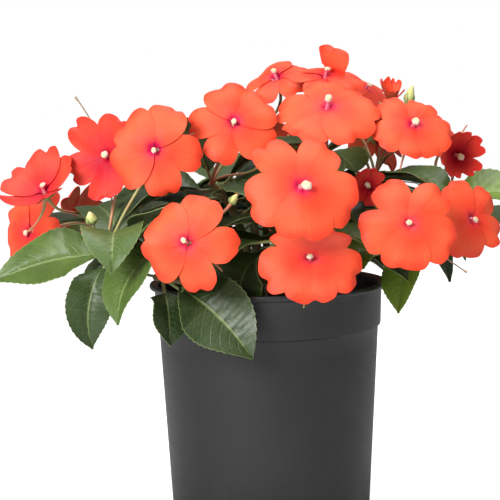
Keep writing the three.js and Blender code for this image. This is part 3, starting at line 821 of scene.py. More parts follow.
def thickened(piece, thickness, under=0):
    """Gives a sheet its thickness. The under side takes the finish that is that many slots on."""
    pick(piece)
    wall = piece.modifiers.new("thickness", "SOLIDIFY")
    wall.thickness, wall.offset = thickness * MM, 0
    wall.material_offset = under
    bpy.ops.object.modifier_apply(modifier=wall.name)
    return piece


def smoothed(piece, degrees=50):
    pick(piece)
    bpy.ops.object.shade_smooth_by_angle(angle=math.radians(degrees))
    return piece


def dressed(piece, slot, *nodes):
    """Ties a finished piece to the frame: it rides on the one body and stands for these solids."""
    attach(piece, "root")
    if nodes:
        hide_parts(*nodes)
    return piece


def tube(name, path, radii, sides=8):
    """A round stalk along a path in mm, with a radius at each point, made from a beveled curve."""
    data = bpy.data.curves.new(name, "CURVE")
    data.dimensions, data.bevel_depth, data.bevel_resolution = "3D", MM, sides // 4
    data.use_fill_caps, data.resolution_u = True, 1
    line = data.splines.new("POLY")
    line.points.add(len(path) - 1)
    for point, place, radius in zip(line.points, path, radii):
        point.co = (*(Vector(place) * MM), 1)
        point.radius = radius
    piece = bpy.data.objects.new(name, data)
    bpy.context.scene.collection.objects.link(piece)
    pick(piece)
    bpy.ops.object.convert(target="MESH")
    return named(bpy.context.active_object, name)


print("helpers for finishing ready")

# %% [markdown]
# ## Petals
# An impatiens bloom has five broad petals, each with a notch at its end, and each lies over its
# neighbour. Petals could be sculpted one by one, but there are 140 of them, so all are grown from
# one flat grid. The square grid is rounded first, because its corners would stick out of the
# petal's edge. Its points are then laid on the petal's surface: a narrow claw in the throat, a wide
# blade with a crease along its middle, and a rim that ripples. The ripple belongs to the whole
# flower, so two petals that overlap ripple together and never cut through each other.

# %% Petal surface
# turn, length and half width as shares of the bloom's width, and layer
PETALS = [
    (-146, 0.52, 0.28, 0),
    (-72, 0.5, 0.29, 2),
    (0, 0.47, 0.29, 4),
    (72, 0.5, 0.29, 3),
    (146, 0.52, 0.28, 1),
]
MIDDLE_LAYER, TOP_LAYER = 2, 4
PETAL_LAYER = 0.6
LIFT_FOLD = 7
PETAL_THICKNESS = 0.4
CLAW_TAPER = 0.42


def ripple_of(bloom, around, out):
    """Height that all petals of a bloom share: slow swells, and finer ripples near the rim."""
    turn, size = bloom["phase"], bloom["size"]
    swell = 0.026 * np.sin(2 * around + turn) + 0.028 * np.sin(3 * around + 1.7 * turn)
    rim = 0.026 * np.sin(5 * around + 2.3 * turn) * out ** 3
    rim = rim + 0.012 * np.sin(9 * around + 3 * turn) * out ** 4
    frill = 0.005 * np.sin(15 * around + turn) * out ** 6
    return size * (swell * out ** 2 + rim + frill)


def petal_points(bloom, petal, share, side, seed):
    """A petal's surface in the bloom's own frame: share from claw to edge, side from -1 to 1."""
    turn, length, half_width, layer = petal
    size, reflex = bloom["size"], bloom["reflex"]
    length = length * (1 + spread(seed * 7, 0.035))
    half_width = half_width * (1 + spread(seed * 11, 0.05))
    half_width *= 0.9 if layer < MIDDLE_LAYER else 1.07
    off = np.abs(side)
    lean = spread(seed * 5, 0.22)
    notch = (0.03 + 0.07 * draw(seed * 13)) * np.exp(-(((side - lean) / 0.16) ** 2))
    notch = notch + 0.022 * np.sin(5 * side + 6 * draw(seed * 3)) * share
    along = size * length * share * (1.02 - notch * share ** 3)
    across = size * half_width * side * share ** (CLAW_TAPER + spread(seed * 23, 0.06))
    across = across + size * spread(seed * 17, 0.03) * share ** 2
    c, s = math.cos(math.radians(turn)), math.sin(math.radians(turn))
    out = np.hypot(along, across) / (size / 2)
    around = np.arctan2(across * s + along * c, across * c - along * s)
    crease = -0.7 * np.exp(-((side / 0.06) ** 2)) * share * (1.2 - share)
    dome = (0.9 + spread(seed * 19, 0.9)) * (1 - side * side) ** 2
    dome = dome * np.sin(math.pi * np.minimum(1, 1.02 * share))
    curl = -0.03 * size * (np.maximum(0, share - 0.84) / 0.16) ** 2 * (1 - off ** 2)
    throat = -3.4 * np.exp(-((np.hypot(along, across) / 2.6) ** 2))
    slope = np.hypot(1, 4.4 * reflex * out ** 1.2)
    fine = min(1, size / 40) * (crease + dome + curl) + throat + ripple_of(bloom, around, out)
    height = fine - reflex * size * out ** 2.2 + (layer - MIDDLE_LAYER) * PETAL_LAYER * slope
    if layer == TOP_LAYER and bloom["lift"]:
        past = np.maximum(0, along - LIFT_FOLD)
        soft = np.clip(past / 4, 0, 1) * math.radians(bloom["lift"])
        lifted = past * np.sin(soft) + height * np.cos(soft)
        along = along - past + past * np.cos(soft) - height * np.sin(soft)
        height = lifted
    return np.stack([across * c - along * s, across * s + along * c, height], axis=1)


print("petals in a bloom:", len(PETALS))

# %% Round the grid
ROUNDING = 0.43
FIRST_ROW = 0.03


def rounded(pattern):
    """Turns the square grid into a round one.

    Its UV map is written anew, across by the width and along by the distance from the throat, so
    that the eye in the finish stays round.
    """
    flat = points_of(pattern)
    u, v = flat[:, 0] * 2, 2 * (FIRST_ROW + (1 - FIRST_ROW) * (flat[:, 1] + 0.5) ** 0.9) - 1
    side = u * np.sqrt(1 - ROUNDING * v * v)
    share = (1 + v * np.sqrt(1 - ROUNDING * u * u)) / 2
    wide = 0.6 * side * share ** CLAW_TAPER
    uv = np.stack([0.5 + 0.5 * side, np.minimum(1, np.hypot(wide, share))], axis=1)
    corners = np.array([loop.vertex_index for loop in pattern.data.loops])
    pattern.data.uv_layers.active.data.foreach_set("uv", uv[corners].ravel())
    return side, share


petal_pattern = grid("petal_pattern", 22, 18)
petal_side, petal_share = rounded(petal_pattern)
print("points in one petal:", len(petal_side))

# %% [markdown]
# ## Growing the blooms
# Each bloom takes five copies of the rounded grid. They are laid on its petals, moved to its place
# and joined into one piece. A number on the points says how crimson each petal is painted, mostly
# as shade on cupped and downward petals and a little as uneven red of its own. The finish reads it,
# so that one material serves every bloom.

# %% Grow the blooms
def grow_petals(bloom, number):
    bloom["phase"] = 6.28 * draw(number * 3)
    place = Matrix.Scale(MM, 4) @ bloom_frame(bloom)
    petals = []
    for k, petal in enumerate(PETALS):
        piece = copied(petal_pattern, f"petal_{k}")
        set_points(piece, petal_points(bloom, petal, petal_share, petal_side, 5 * number + k))
        moved_by(piece, place)
        angle = math.radians(petal[0])
        # painted shade: a petal that points down gets a deeper crimson, on top of a little random red
        down = -(place.to_3x3() @ Vector((-math.sin(angle), math.cos(angle), 0))).normalized().z
        petal_red_and_shade = 0.1 * draw(number * 5 + k) + 1.6 * bloom["deep_red_and_shade"] * max(0, down)
        set_number(piece, "deep_red_and_shade", min(1, bloom["deep_red_and_shade"] + petal_red_and_shade))
        petals.append(piece)
    piece = finished(joined(bloom["name"] + "_petals", petals), petal_face, petal_back)
    thickened(piece, PETAL_THICKNESS, under=1)
    return dressed(smoothed(piece), "petals", bloom["name"])


petal_pieces = [grow_petals(bloom, number) for number, bloom in enumerate(blooms, 1)]
discard(petal_pattern)
print("petal pieces:", len(petal_pieces), "faces each:", len(petal_pieces[0].data.polygons))

# %% [markdown]
# ## The heart of a bloom
# In the throat sits a short column with a pale hooded cap of anthers. Behind the petals is a small
# green cone where the stalk ends, and a thin nectar spur curves away from the stalk. All this could
# be one sculpted lump, but five simple parts are easier to change, and the spur can then be turned
# by itself. The cap is a sphere whose points are moved, the sepal a grid, and the rest are tubes.

# %% Model the heart
def shaped(piece, move):
    """Moves every point of a piece by a rule that takes x, y and z in mm and returns them."""
    set_points(piece, np.array([move(*point) for point in points_of(piece) / MM]) * MM)
    return piece


def model_cap():
    deselect()
    bpy.ops.mesh.primitive_uv_sphere_add(segments=20, ring_count=12, radius=2.3 * MM)
    cap = named(bpy.context.active_object, "anther_cap")

    def hood(x, y, z):
        lobe = 1 + 0.07 * math.cos(5 * math.atan2(y, x)) * min(1, math.hypot(x, y) / 1.2)
        dent = 0.5 * math.exp(-(x * x + (y - 0.2) ** 2) / 0.8) if z > 0 else 0
        ahead = 2.0 + 1.2 * y * lobe - 0.12 * z * z
        return x * lobe, ahead, 5.4 + 0.85 * max(z, -0.9) - dent + 0.2 * y
    finished(smoothed(shaped(cap, hood), 60), anther_skin, pollen_skin)
    for face in cap.data.polygons:
        place = face.center / MM
        face.material_index = 1 if place.z > 5.9 and abs(place.x) < 1.2 and place.y < 2.9 else 0
    return cap


def model_column():
    path = [(0, 0, -2), (0, 0.2, 1.0), (0, 0.9, 3.2), (0, 2.0, 5.0)]
    return finished(smoothed(tube("column", path, [1.7, 1.25, 1.1, 1.2], 8)), column_skin)


def model_hub():
    path = [(0, 0, -HUB_LENGTH), (0, 0, -7.2), (0, 0, -5.2), (0, 0, -3.6), (0, 0, -2.4)]
    return finished(smoothed(tube("hub", path, [1.3, 2.0, 2.9, 3.1, 2.6], 12)), green_back)


def model_spur():
    path = quadratic(Vector((1, 0, -5)), Vector((9, 0, -18)), Vector((25, 0, -17)), 10)
    radii = [1.5 - 1.0 * (i / 10) ** 0.7 for i in range(11)]
    return finished(smoothed(tube("spur", path, radii, 8)), stalk_skin)


def model_sepal():
    sepal = grid("sepal", 4, 6)

    def leaflet(x, y, _):
        share, side = y / GRID_SIZE + 0.5, 2 * x / GRID_SIZE
        width = 2.2 * math.sin(math.pi * min(1, 0.15 + 0.85 * share))
        return side * width, 1.5 + 6.5 * share, -5.6 + 2.2 * share - 0.6 * side ** 2
    return smoothed(thickened(finished(shaped(sepal, leaflet), green_back), 0.3))


heart_parts = {
    "cap": model_cap(), "column": model_column(), "hub": model_hub(), "spur": model_spur(),
    "sepal": model_sepal(),
}
print("heart parts:", {name: len(part.data.polygons) for name, part in heart_parts.items()})

# %% [markdown]
# ## Setting the hearts
# The spur must not cut through the flower's stalk, and the blooms are turned in all directions, so
# its side can't be the same in every copy. Each bloom asks where its stem's tip lies. The spur is
# turned away from there, and two small sepals stand beside it. The cap and its column are turned
# by lot and grown to the bloom's own size.

# %% Set a heart in each bloom
SPUR_TURN = math.radians(150)


def set_heart(bloom, number):
    place = bloom_frame(bloom)
    stalk_side = place.inverted() @ tip_of(bloom["stem"])
    away = math.atan2(stalk_side.y, stalk_side.x) + SPUR_TURN
    tight = Matrix.Scale(MM, 4) @ place @ Matrix.Scale(1 / MM, 4)
    lean = Matrix.Rotation(spread(number, 2.6), 4, "Z")
    seat = Matrix.Translation((0, 0, 2 * MM))
    grown = seat.inverted() @ Matrix.Scale(bloom["cap"], 4) @ seat
    places = [("cap", lean @ grown), ("column", lean @ grown), ("hub", Matrix.Identity(4))]
    places.append(("spur", Matrix.Rotation(away, 4, "Z")))
    for turn in (-0.9, 0.9):
        places.append(("sepal", Matrix.Rotation(away + math.pi / 2 + turn, 4, "Z")))
    parts = [moved_by(copied(heart_parts[part], part), tight @ turned) for part, turned in places]
    return dressed(joined(bloom["name"] + "_heart", parts), "petals", bloom["name"])


hearts = [set_heart(bloom, number) for number, bloom in enumerate(blooms, 1)]
discard(*heart_parts.values())
print("hearts:", len(hearts))

# %% [markdown]
# ## Leaves
# A leaf of this plant is long and pointed, with saw teeth along its edge. Bending a plane by hand
# would do for one leaf, but the plant has 130 of them, so the blade comes from a grid too. Its
# outer points step in and out for the cut edge, and its skin rises between the side veins and sinks
# along them, as on a quilt. The midrib lies in a groove.

# %% Leaf blades
LEAF_TEETH = 17
TOOTH = 1.15
USUAL_WIDTH = 44


def eased(share, rate):
    """Rises from 0 to 1 at this rate, and then stays."""
    return np.clip(rate * share, 0, 1)


def leaf_blade_points(leaf, along, side, teeth):
    off = np.abs(side)
    half = np.maximum(0.9, blade_half_width(leaf, along) * (1 - 0.16 * along ** 6))
    step = (along * teeth) % 1
    tooth = TOOTH * leaf["width"] / USUAL_WIDTH * (step ** 1.4 - 0.35)
    half = half + tooth * eased(along, 6) * eased(1 - along, 6) * off ** 8
    order = VEINS * (along - VEIN_SWEEP * off ** 1.3)
    quilt = np.abs(np.sin(math.pi * (order + 0.5))) ** 0.7
    fade = eased(along, 5) * eased(1 - along, 3) * (1 - off ** 4) * np.clip(off / 0.15, 0, 1)
    groove = np.exp(-((off / 0.07) ** 2)) * eased(along, 4)
    buckle = 0.5 * np.sin(7 * along + leaf["length"] + 2.2 * side) * off * eased(along, 4)
    lift = leaf["width"] / USUAL_WIDTH * (0.95 * (1 - quilt) * fade - 0.6 * groove + buckle)
    return leaf_sheet(leaf, along, half * side, lift)


def leaf_piece(pattern, leaf, name, teeth):
    piece = copied(pattern, name)
    flat = points_of(pattern)
    set_points(piece, leaf_blade_points(leaf, flat[:, 1] + 0.5, flat[:, 0] * 2, teeth) * MM)
    set_number(piece, "young", leaf["young"])
    return piece


RIB_DEPTH = -1.15


def leaf_stalk(leaf, name):
    """The petiole: from inside the stem to the blade, and on as a rib under it."""
    root = leaf_root(leaf)
    shares = [0, 0.05, 0.12, 0.22, 0.34, 0.5, 0.7, 0.9]
    rib = leaf_sheet(leaf, shares, [0.0] * len(shares), RIB_DEPTH)
    start = root.lerp(Vector(rib[0]), -0.06)
    path = [start, root.lerp(Vector(rib[0]), 0.3), root.lerp(Vector(rib[0]), 0.7), *map(Vector, rib)]
    radii = [1.7, 1.15, 1.0, 0.95, 0.85, 0.8, 0.72, 0.62, 0.52, 0.4, 0.25]
    return tube(name, path, radii, 8)


blade_pattern = grid("blade_pattern", 10, 68)
print("points in one blade:", len(blade_pattern.data.vertices))

# %% [markdown]
# ## Hanging the leaves
# All blades of one stem are one piece, as they grew from one shoot. That keeps the outliner short:
# fourteen pieces instead of nearly fifty. The blades get their thickness after the joining, and
# their under side takes the paler finish of the next slot.

# %% Hang the leaves on their stems
def grow_leaves(stem):
    mine = [leaf for leaf in leaves if leaf["stem"] == stem]
    blades = [leaf_piece(blade_pattern, leaf, "blade", LEAF_TEETH) for leaf in mine]
    piece = finished(joined(stem + "_leaves", blades), leaf_top, leaf_under)
    thickened(piece, 0.45, under=1)
    return dressed(smoothed(piece, 60), "foliage", "stem_" + stem)


leaf_pieces = [grow_leaves(stem) for stem in STEMS]
discard(blade_pattern)
print("leaf pieces:", len(leaf_pieces))

# %% [markdown]
# ## Stems and leaf stalks
# A stem is a fleshy tube that tapers from its foot in the soil to its tip, a little swollen where
# leaves spring from it. A skin modifier could make the whole branching, but its forks are hard to
# steer. Here each tube is made alone and simply starts inside the one that bears it. A leaf's stalk
# runs on under the blade as a rib.

# %% Grow stems and leaf stalks
STEM_NODES = (0.3, 0.62, 0.91)


def stem_tube(stem):
    steps = 22
    path = stem_path(stem, steps)
    path.insert(0, foot_of(stem) + UP * (SOIL_TOP - STEM_DEPTH))
    shares = [0] + [i / steps for i in range(steps + 1)]
    swell = [1 + 0.22 * max(math.exp(-((t - n) / 0.03) ** 2) for n in STEM_NODES) for t in shares]
    radii = [(3.6 - 1.5 * t) * s for t, s in zip(shares, swell)]
    return tube("stem_tube", path, radii, 12)


def grow_stem(stem):
    stalks = [leaf_stalk(leaf, "leaf_stalk") for leaf in leaves if leaf["stem"] == stem]
    parts = [finished(stem_tube(stem), stem_skin)]
    parts += [finished(stalk, leaf_stalk_skin) for stalk in stalks]
    return dressed(smoothed(joined(stem + "_stem", parts), 60), "foliage", "stem_" + stem)


stem_pieces = [grow_stem(stem) for stem in STEMS]
print("stem pieces:", len(stem_pieces))

# %% [markdown]
# ## Flower stalks
# Each bloom stands on a thin stalk that leaves the stem's tip and arrives straight behind the
# green cone. Two points fix where such a curve starts and ends, and two more fix its directions
# there, so one cubic curve serves every stalk.

# %% Flower stalks
def stalk_path(stem, end, out, steps):
    start = tip_of(stem) - UP * 1.5
    reach = (end - start).length
    leave = start.lerp(end, 0.3) + UP * 0.15 * reach
    return cubic(start, leave, end - out * 0.35 * reach, end, steps)


def pedicel(bloom):
    out = facing(bloom["azimuth"], bloom["rise"])
    end = bloom["at"] - out * (HUB_LENGTH - 1)
    path = stalk_path(bloom["stem"], end, out, 16)
    return tube("pedicel", path, [1.25] + [1.05] * 14 + [1.2, 1.4], 8)


pedicels = []
for stem in STEMS:
    parts = [pedicel(bloom) for bloom in blooms if bloom["stem"] == stem]
    if parts:
        piece = finished(joined(stem + "_flower_stalks", parts), stalk_skin)
        pedicels.append(dressed(smoothed(piece, 60), "foliage", "stem_" + stem))
print("stems with flower stalks:", len(pedicels))

# %% [markdown]
# ## Buds
# Buds are pointed and pale yellow, and three small green sepals hold each. A bud is a sphere drawn
# out to a point, modelled once with a length of 1 mm. Each copy is then scaled to its own length
# and plumpness and turned away from the stem. The sepals are thickened only after the scaling, so
# their thickness is the same on a small bud and on a large one.

# %% Buds
# stem, centre, length, how plump
BUDS = [
    ("left_front", (-114, -84, 229), 9, 1.6),
    ("front_left", (-22, -92, 240), 8, 1.3),
    ("top_left", (-2, -72, 264), 8, 1.3),
    ("top_right", (101, -6, 305), 14, 1.0),
    ("right", (136, 24, 252), 10, 1.1),
    ("back", (-32, 116, 246), 11, 1.0),
    ("back_left", (-96, 92, 250), 10, 1.2),
]


def model_bud():
    """A bud one mm long that points along z, with the UV map running along it."""
    deselect()
    bpy.ops.mesh.primitive_uv_sphere_add(segments=16, ring_count=14, radius=MM)
    bud = named(bpy.context.active_object, "bud_pattern")

    def plump(x, y, z):
        share = (z + 1) / 2
        width = math.sin(math.pi * share) ** 0.5 if 0 < share < 1 else 0
        taper = (0.31 - 0.17 * share) * width
        angle = math.atan2(y, x)
        crease = 1 + 0.07 * math.cos(3 * angle + 4 * share)
        reach = taper * crease if math.hypot(x, y) > 1e-6 else 0
        return reach * math.cos(angle), reach * math.sin(angle), share
    return finished(smoothed(shaped(bud, plump), 60), bud_skin)


def model_bud_sepal():
    sepal = grid("bud_sepal", 4, 8)

    def leaflet(x, y, _):
        share, side = y / GRID_SIZE + 0.5, 2 * x / GRID_SIZE
        width = 0.17 * math.sin(math.pi * (0.12 + 0.88 * share)) ** 0.8
        bulge = 0.26 * math.sin(math.pi * min(1, 0.1 + 0.75 * share)) + 0.02
        return side * width, bulge - 0.35 * abs(side * width), 0.02 + 0.62 * share
    return finished(shaped(sepal, leaflet), green_back)


bud_pattern, sepal_pattern = model_bud(), model_bud_sepal()
print("faces of a bud:", len(bud_pattern.data.polygons))

# %% Set the buds
def grow_bud(stem, centre, length, plump):
    centre = Vector(centre)
    out = ((centre - tip_of(stem)).normalized() + UP * 0.6).normalized()
    base = centre - out * length * 0.5
    turn = out.to_track_quat("Z", "Y").to_matrix().to_4x4()
    wide = Matrix.Diagonal((length * plump, length * plump, length, 1))
    place = Matrix.Scale(MM, 4) @ Matrix.Translation(base) @ turn @ wide @ Matrix.Scale(1 / MM, 4)
    parts = [moved_by(copied(bud_pattern, "bud"), place)]
    for turned in (0.4, 2.5, 4.6):
        sepal = moved_by(copied(sepal_pattern, "bud_sepal"), place @ Matrix.Rotation(turned, 4, "Z"))
        parts.append(thickened(sepal, 0.35))
    path = stalk_path(stem, base + out * 0.5, out, 12)
    parts.append(finished(tube("bud_stalk", path, [1.1] + [0.9] * 10 + [1.0, 1.3], 8), stalk_skin))
    return parts


bud_pieces = []
for stem, centre, length, plump in BUDS:
    piece = joined(stem + "_bud", grow_bud(stem, centre, length, plump))
    bud_pieces.append(dressed(smoothed(piece, 60), "foliage", "stem_" + stem))
discard(bud_pattern, sepal_pattern)
print("buds:", len(bud_pieces))

# %% [markdown]
# ## The pot
# A moulded pot is round, so half of its section is drawn once and spun round the axis. The section
# is one line: from the axis over the foot, up the outside with its stepped band and rolled lip,
# down the inside and over the floor. It starts as a plane merged into one point, and each further
# point is extruded from the last. The drain holes are cut out of the spun wall.

# %% Spin the pot
# radius and height of the section's points, from the middle of the foot round to the inner floor
POT_SECTION = [
    (0, 1.2), (50, 1.2), (53, 0), (66.5, 0), (68.6, 0.8), (70, 2.5), (72.6, 50), (75.1, 96),
    (77.0, 131), (77.7, 144), (78.3, 145.2), (79.3, 145.8), (79.6, 147), (80.2, 168),
    (80.8, 171.6), (82.0, 172.3), (83.4, 172.6), (84, 173.5), (84, 174.8), (83.5, 175.7), (82.4, 176),
    (80.2, 175.6), (78.4, 174.6), (78, 172), (77.8, 146), (76.9, 144.6), (75.9, 143), (68.2, 2.6),
    (0, 2.6),
]
POT_STEPS = 112
DRAIN_HOLES = 6
HOLE_RADIUS = 6.5
HOLE_REACH = 69


def spun_pot():
    deselect()
    bpy.ops.mesh.primitive_plane_add(size=1)
    pot = named(bpy.context.active_object, "pot_wall")
    bpy.ops.object.mode_set(mode="EDIT")
    bpy.ops.mesh.select_all(action="SELECT")
    bpy.ops.mesh.merge(type="CENTER")
    radius, level = POT_SECTION[0]
    bpy.ops.transform.translate(value=(radius * MM, 0, level * MM))
    for (radius, level), (r, z) in zip(POT_SECTION, POT_SECTION[1:]):
        step = ((r - radius) * MM, 0, (z - level) * MM)
        bpy.ops.mesh.extrude_region_move(TRANSFORM_OT_translate={"value": step})
    bpy.ops.mesh.select_all(action="SELECT")
    bpy.ops.mesh.spin(steps=POT_STEPS, angle=2 * math.pi, center=(0, 0, 0), axis=(0, 0, 1))
    bpy.ops.mesh.select_all(action="SELECT")
    bpy.ops.mesh.remove_doubles(threshold=0.01 * MM)
    bpy.ops.mesh.normals_make_consistent(inside=False)
    bpy.ops.object.mode_set(mode="OBJECT")
    return pot


def drain_cutter(order):
    out = heading(360 / DRAIN_HOLES * (order + 0.5))
    deselect()
    bpy.ops.mesh.primitive_cylinder_add(vertices=32, radius=HOLE_RADIUS * MM, depth=30 * MM)
    cutter = named(bpy.context.active_object, f"cutter_{order}")
    turn = (out - UP).normalized().to_track_quat("Z", "Y").to_matrix().to_4x4()
    return moved_by(cutter, Matrix.Translation((out * HOLE_REACH + UP) * MM) @ turn)


pot = finished(spun_pot(), pot_black)
cutters = [drain_cutter(order) for order in range(DRAIN_HOLES)]
cutter = joined("cutters", cutters)
pick(pot)
cut = pot.modifiers.new("holes", "BOOLEAN")
cut.operation, cut.object, cut.solver = "DIFFERENCE", cutter, "EXACT"
bpy.ops.object.modifier_apply(modifier=cut.name)
discard(cutter)
dressed(smoothed(pot, 38), "pot_plastic", "pot")
pot_height = max(v.co.z for v in pot.data.vertices) / MM
print("pot faces:", len(pot.data.polygons), "height", round(pot_height, 1), "mm")

# %% [markdown]
# ## The soil
# Peat is a rough dark skin with crumbs, bits of bark and white grains of perlite on it. The skin is
# a round sheet whose points are lifted by noise, with a skirt down into the pot so that it has no
# open edge. The loose bits are a few small lumps, copied, squashed and turned.

# %% Soil
SOIL_RADIUS = 76.6
SOIL_RINGS = (0.6, 1.6, 2.4) + (4.0,) * 17


def soil_top(x, y):
    rough = noise.fractal(Vector((x, y, 0)) / 9, 0.7, 2.0, 4)
    low = noise.noise(Vector((x, y, 7)) / 38)
    edge = max(0, math.hypot(x, y) - 68)
    return SOIL_TOP + 1.0 * rough + 1.2 * low - 0.15 * edge


def raised_soil():
    deselect()
    bpy.ops.mesh.primitive_circle_add(vertices=96, radius=SOIL_RADIUS * MM, fill_type="NGON")
    soil = named(bpy.context.active_object, "soil_body")
    bpy.ops.object.mode_set(mode="EDIT")
    bpy.ops.mesh.select_all(action="SELECT")
    for width in SOIL_RINGS:
        bpy.ops.mesh.inset(thickness=width * MM, depth=0)
    bpy.ops.mesh.merge(type="CENTER")
    bpy.ops.object.mode_set(mode="OBJECT")
    points = points_of(soil) / MM
    points[:, 2] = [soil_top(x, y) for x, y, _ in points]
    set_points(soil, points * MM)
    bpy.ops.object.mode_set(mode="EDIT")
    bpy.ops.mesh.select_all(action="DESELECT")
    bpy.ops.mesh.select_non_manifold()
    bpy.ops.mesh.extrude_region_move(TRANSFORM_OT_translate={"value": (0, 0, -9 * MM)})
    bpy.ops.mesh.fill()
    bpy.ops.mesh.select_all(action="SELECT")
    bpy.ops.mesh.normals_make_consistent(inside=False)
    bpy.ops.object.mode_set(mode="OBJECT")
    return soil


soil = dressed(smoothed(finished(raised_soil(), soil_peat), 60), "potting_soil", "soil")
print("soil faces:", len(soil.data.polygons))

# %% Bits on the soil
BITS_REACH = 73


def soil_bits(name, count, finish, low, high, flat):
    deselect()
    bpy.ops.mesh.primitive_ico_sphere_add(subdivisions=2, radius=MM)
    pattern = named(bpy.context.active_object, name + "_pattern")
    set_points(pattern, [p * (1 + 0.45 * noise.noise(Vector(p) / MM * 1.3)) for p in points_of(pattern)])
    bits = []
    for n in range(count):
        reach, azimuth = BITS_REACH * math.sqrt(draw(n + count)), 360 * draw(3 * n + 1)
        x, y, _ = heading(azimuth) * reach
        size = low + (high - low) * draw(5 * n + 2)
        at = Vector((x, y, soil_top(x, y) + 0.25 * size))
        turn = Matrix.Rotation(6.28 * draw(7 * n), 4, "Z") @ Matrix.Rotation(0.5 * draw(n), 4, "X")
        scale = Matrix.Diagonal((size * flat, size, size * (0.5 if flat > 1 else 0.8), 1))
        bits.append(moved_by(copied(pattern, "bit"), Matrix.Translation(at * MM) @ turn @ scale))
    discard(pattern)
    return dressed(smoothed(finished(joined(name, bits), finish), 60), "potting_soil", "soil")


bark_skin = soft_finish("bark_skin", (0.16, 0.08, 0.04), (0.05, 0.028, 0.016), 300.0, 0.9, 0.5)
perlite_skin = soft_finish("perlite_skin", (0.75, 0.73, 0.68), (0.5, 0.47, 0.42), 500.0, 0.9, 0.5)
bark = soil_bits("bark_bits", 90, bark_skin, 1.0, 2.4, 2.2)
perlite = soil_bits("perlite_grains", 80, perlite_skin, 0.7, 1.5, 1.0)
print("faces of", bark.name, len(bark.data.polygons), perlite.name, len(perlite.data.polygons))

# %% [markdown]
# ## Leaves inside the plant
# A real plant is so leafy that no light comes through it. Its small inner leaves can't be told
# apart, so they follow a rule: each stem gets a row of drawn leaves, and one is kept only if it
# clears every piece that is already there. A tree of boxes round the faces makes that test quick.

# %% Test for clearance
BLADE_ROWS = (0.02, 0.2, 0.4, 0.6, 0.8, 0.97)
CLEARANCE = 1.0


def face_tree(piece):
    faces = [tuple(face.vertices) for face in piece.data.polygons]
    return BVHTree.FromPolygons([tuple(v.co / MM) for v in piece.data.vertices], faces)


def coarse_tree(leaf):
    """The leaf with its stalk as a few faces on two sides, each moved out by the clearance."""
    along = np.repeat(BLADE_ROWS, 3)
    half = np.maximum(1.2, blade_half_width(leaf, along)) * np.tile((-1, 0, 1), len(BLADE_ROWS))
    base, root = Vector(leaf_sheet(leaf, [0.0], [0.0])[0]), leaf_root(leaf)
    side = Vector(leaf_axes(leaf)[1])
    start = root.lerp(base, 0.42)
    points, faces = [], []
    for up in (-CLEARANCE, CLEARANCE):
        first = len(points)
        points += [tuple(start + side * s + UP * up) for s in (-1.2, 0, 1.2)]
        points += [tuple(p) for p in leaf_sheet(leaf, along, half, up)]
        for r in range(len(BLADE_ROWS)):
            for c in (0, 1):
                a = first + 3 * r + c
                faces.append((a, a + 1, a + 4, a + 3))
    rows = len(BLADE_ROWS) + 1
    for c in (0, 2):
        for r in range(rows - 1):
            a = 3 * r + c
            faces.append((a, a + 3, a + 3 + 3 * rows, a + 3 * rows))
    return BVHTree.FromPolygons(points, faces)


meshes = [piece for piece in bpy.context.scene.objects if piece.type == "MESH"]
taken = [face_tree(piece) for piece in meshes if piece.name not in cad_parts]
print("pieces to keep clear of:", len(taken))

# %% [markdown]
# ## Planning the inner leaves
# A stem may try 110 leaves and keep 13. A leaf that is kept joins the pieces that the next ones
# have to clear. Leaves that would hang out over the rim, or leave the frame's box, are left out,
# because there they would be seen as leaves of their own.

# %% Plan the inner leaves
INNER_TRIES = 110
INNER_MOST = 13
INNER_FIRST = 100
LOWEST_TIP = 0.178
FRONT_TIP = -0.085
MARGIN_LOW, MARGIN_HIGH = 0.006, 0.012


def inner_leaf(stem, n):
    length = 30 + 26 * draw(3 * n + 1)
    width = length * (0.5 + 0.12 * draw(n + 5))
    at, azimuth, rise = 0.3 + 0.64 * draw(n), 360 * draw(5 * n + 2), -16 + 56 * draw(7 * n + 3)
    bend, roll, young = 40 + 40 * draw(n + 7), spread(11 * n, 26), 0.05 + 0.5 * draw(13 * n) ** 2
    return dict(zip(LEAF_KEYS, (stem, at, azimuth, rise, bend, length, width, roll, young)))


def inside_box(leaf):
    """Whether the tip and both sides are in the frame's box, over the rim and not in front."""
    tips = leaf_sheet(leaf, [0.5, 0.5, 1.0], [-leaf["width"] / 2, leaf["width"] / 2, 0.0]) * MM
    lows, highs = np.array(cad_low) + MARGIN_LOW, np.array(cad_high) - MARGIN_HIGH
    inside = bool(np.all((lows < tips) & (tips < highs)))
    return inside and all(tip[2] > LOWEST_TIP and tip[1] > FRONT_TIP for tip in tips)


def fits(leaf, tree):
    return inside_box(leaf) and not any(tree.overlap(other) for other in taken)


def plan_inner_leaves():
    kept, n = [], INNER_FIRST
    for stem in STEMS:
        mine = 0
        for _ in range(INNER_TRIES):
            n += 1
            leaf = inner_leaf(stem, n)
            tree = coarse_tree(leaf)
            if mine < INNER_MOST and fits(leaf, tree):
                taken.append(tree)
                kept.append(leaf)
                mine += 1
    return kept


inner_leaves = plan_inner_leaves()
print("inner leaves:", len(inner_leaves))

# %% [markdown]
# ## Growing the inner leaves
# They lie in the shade behind the blooms, so a coarser grid with fewer teeth is fine enough. As
# before, the blades of one stem are one piece and their stalks another.

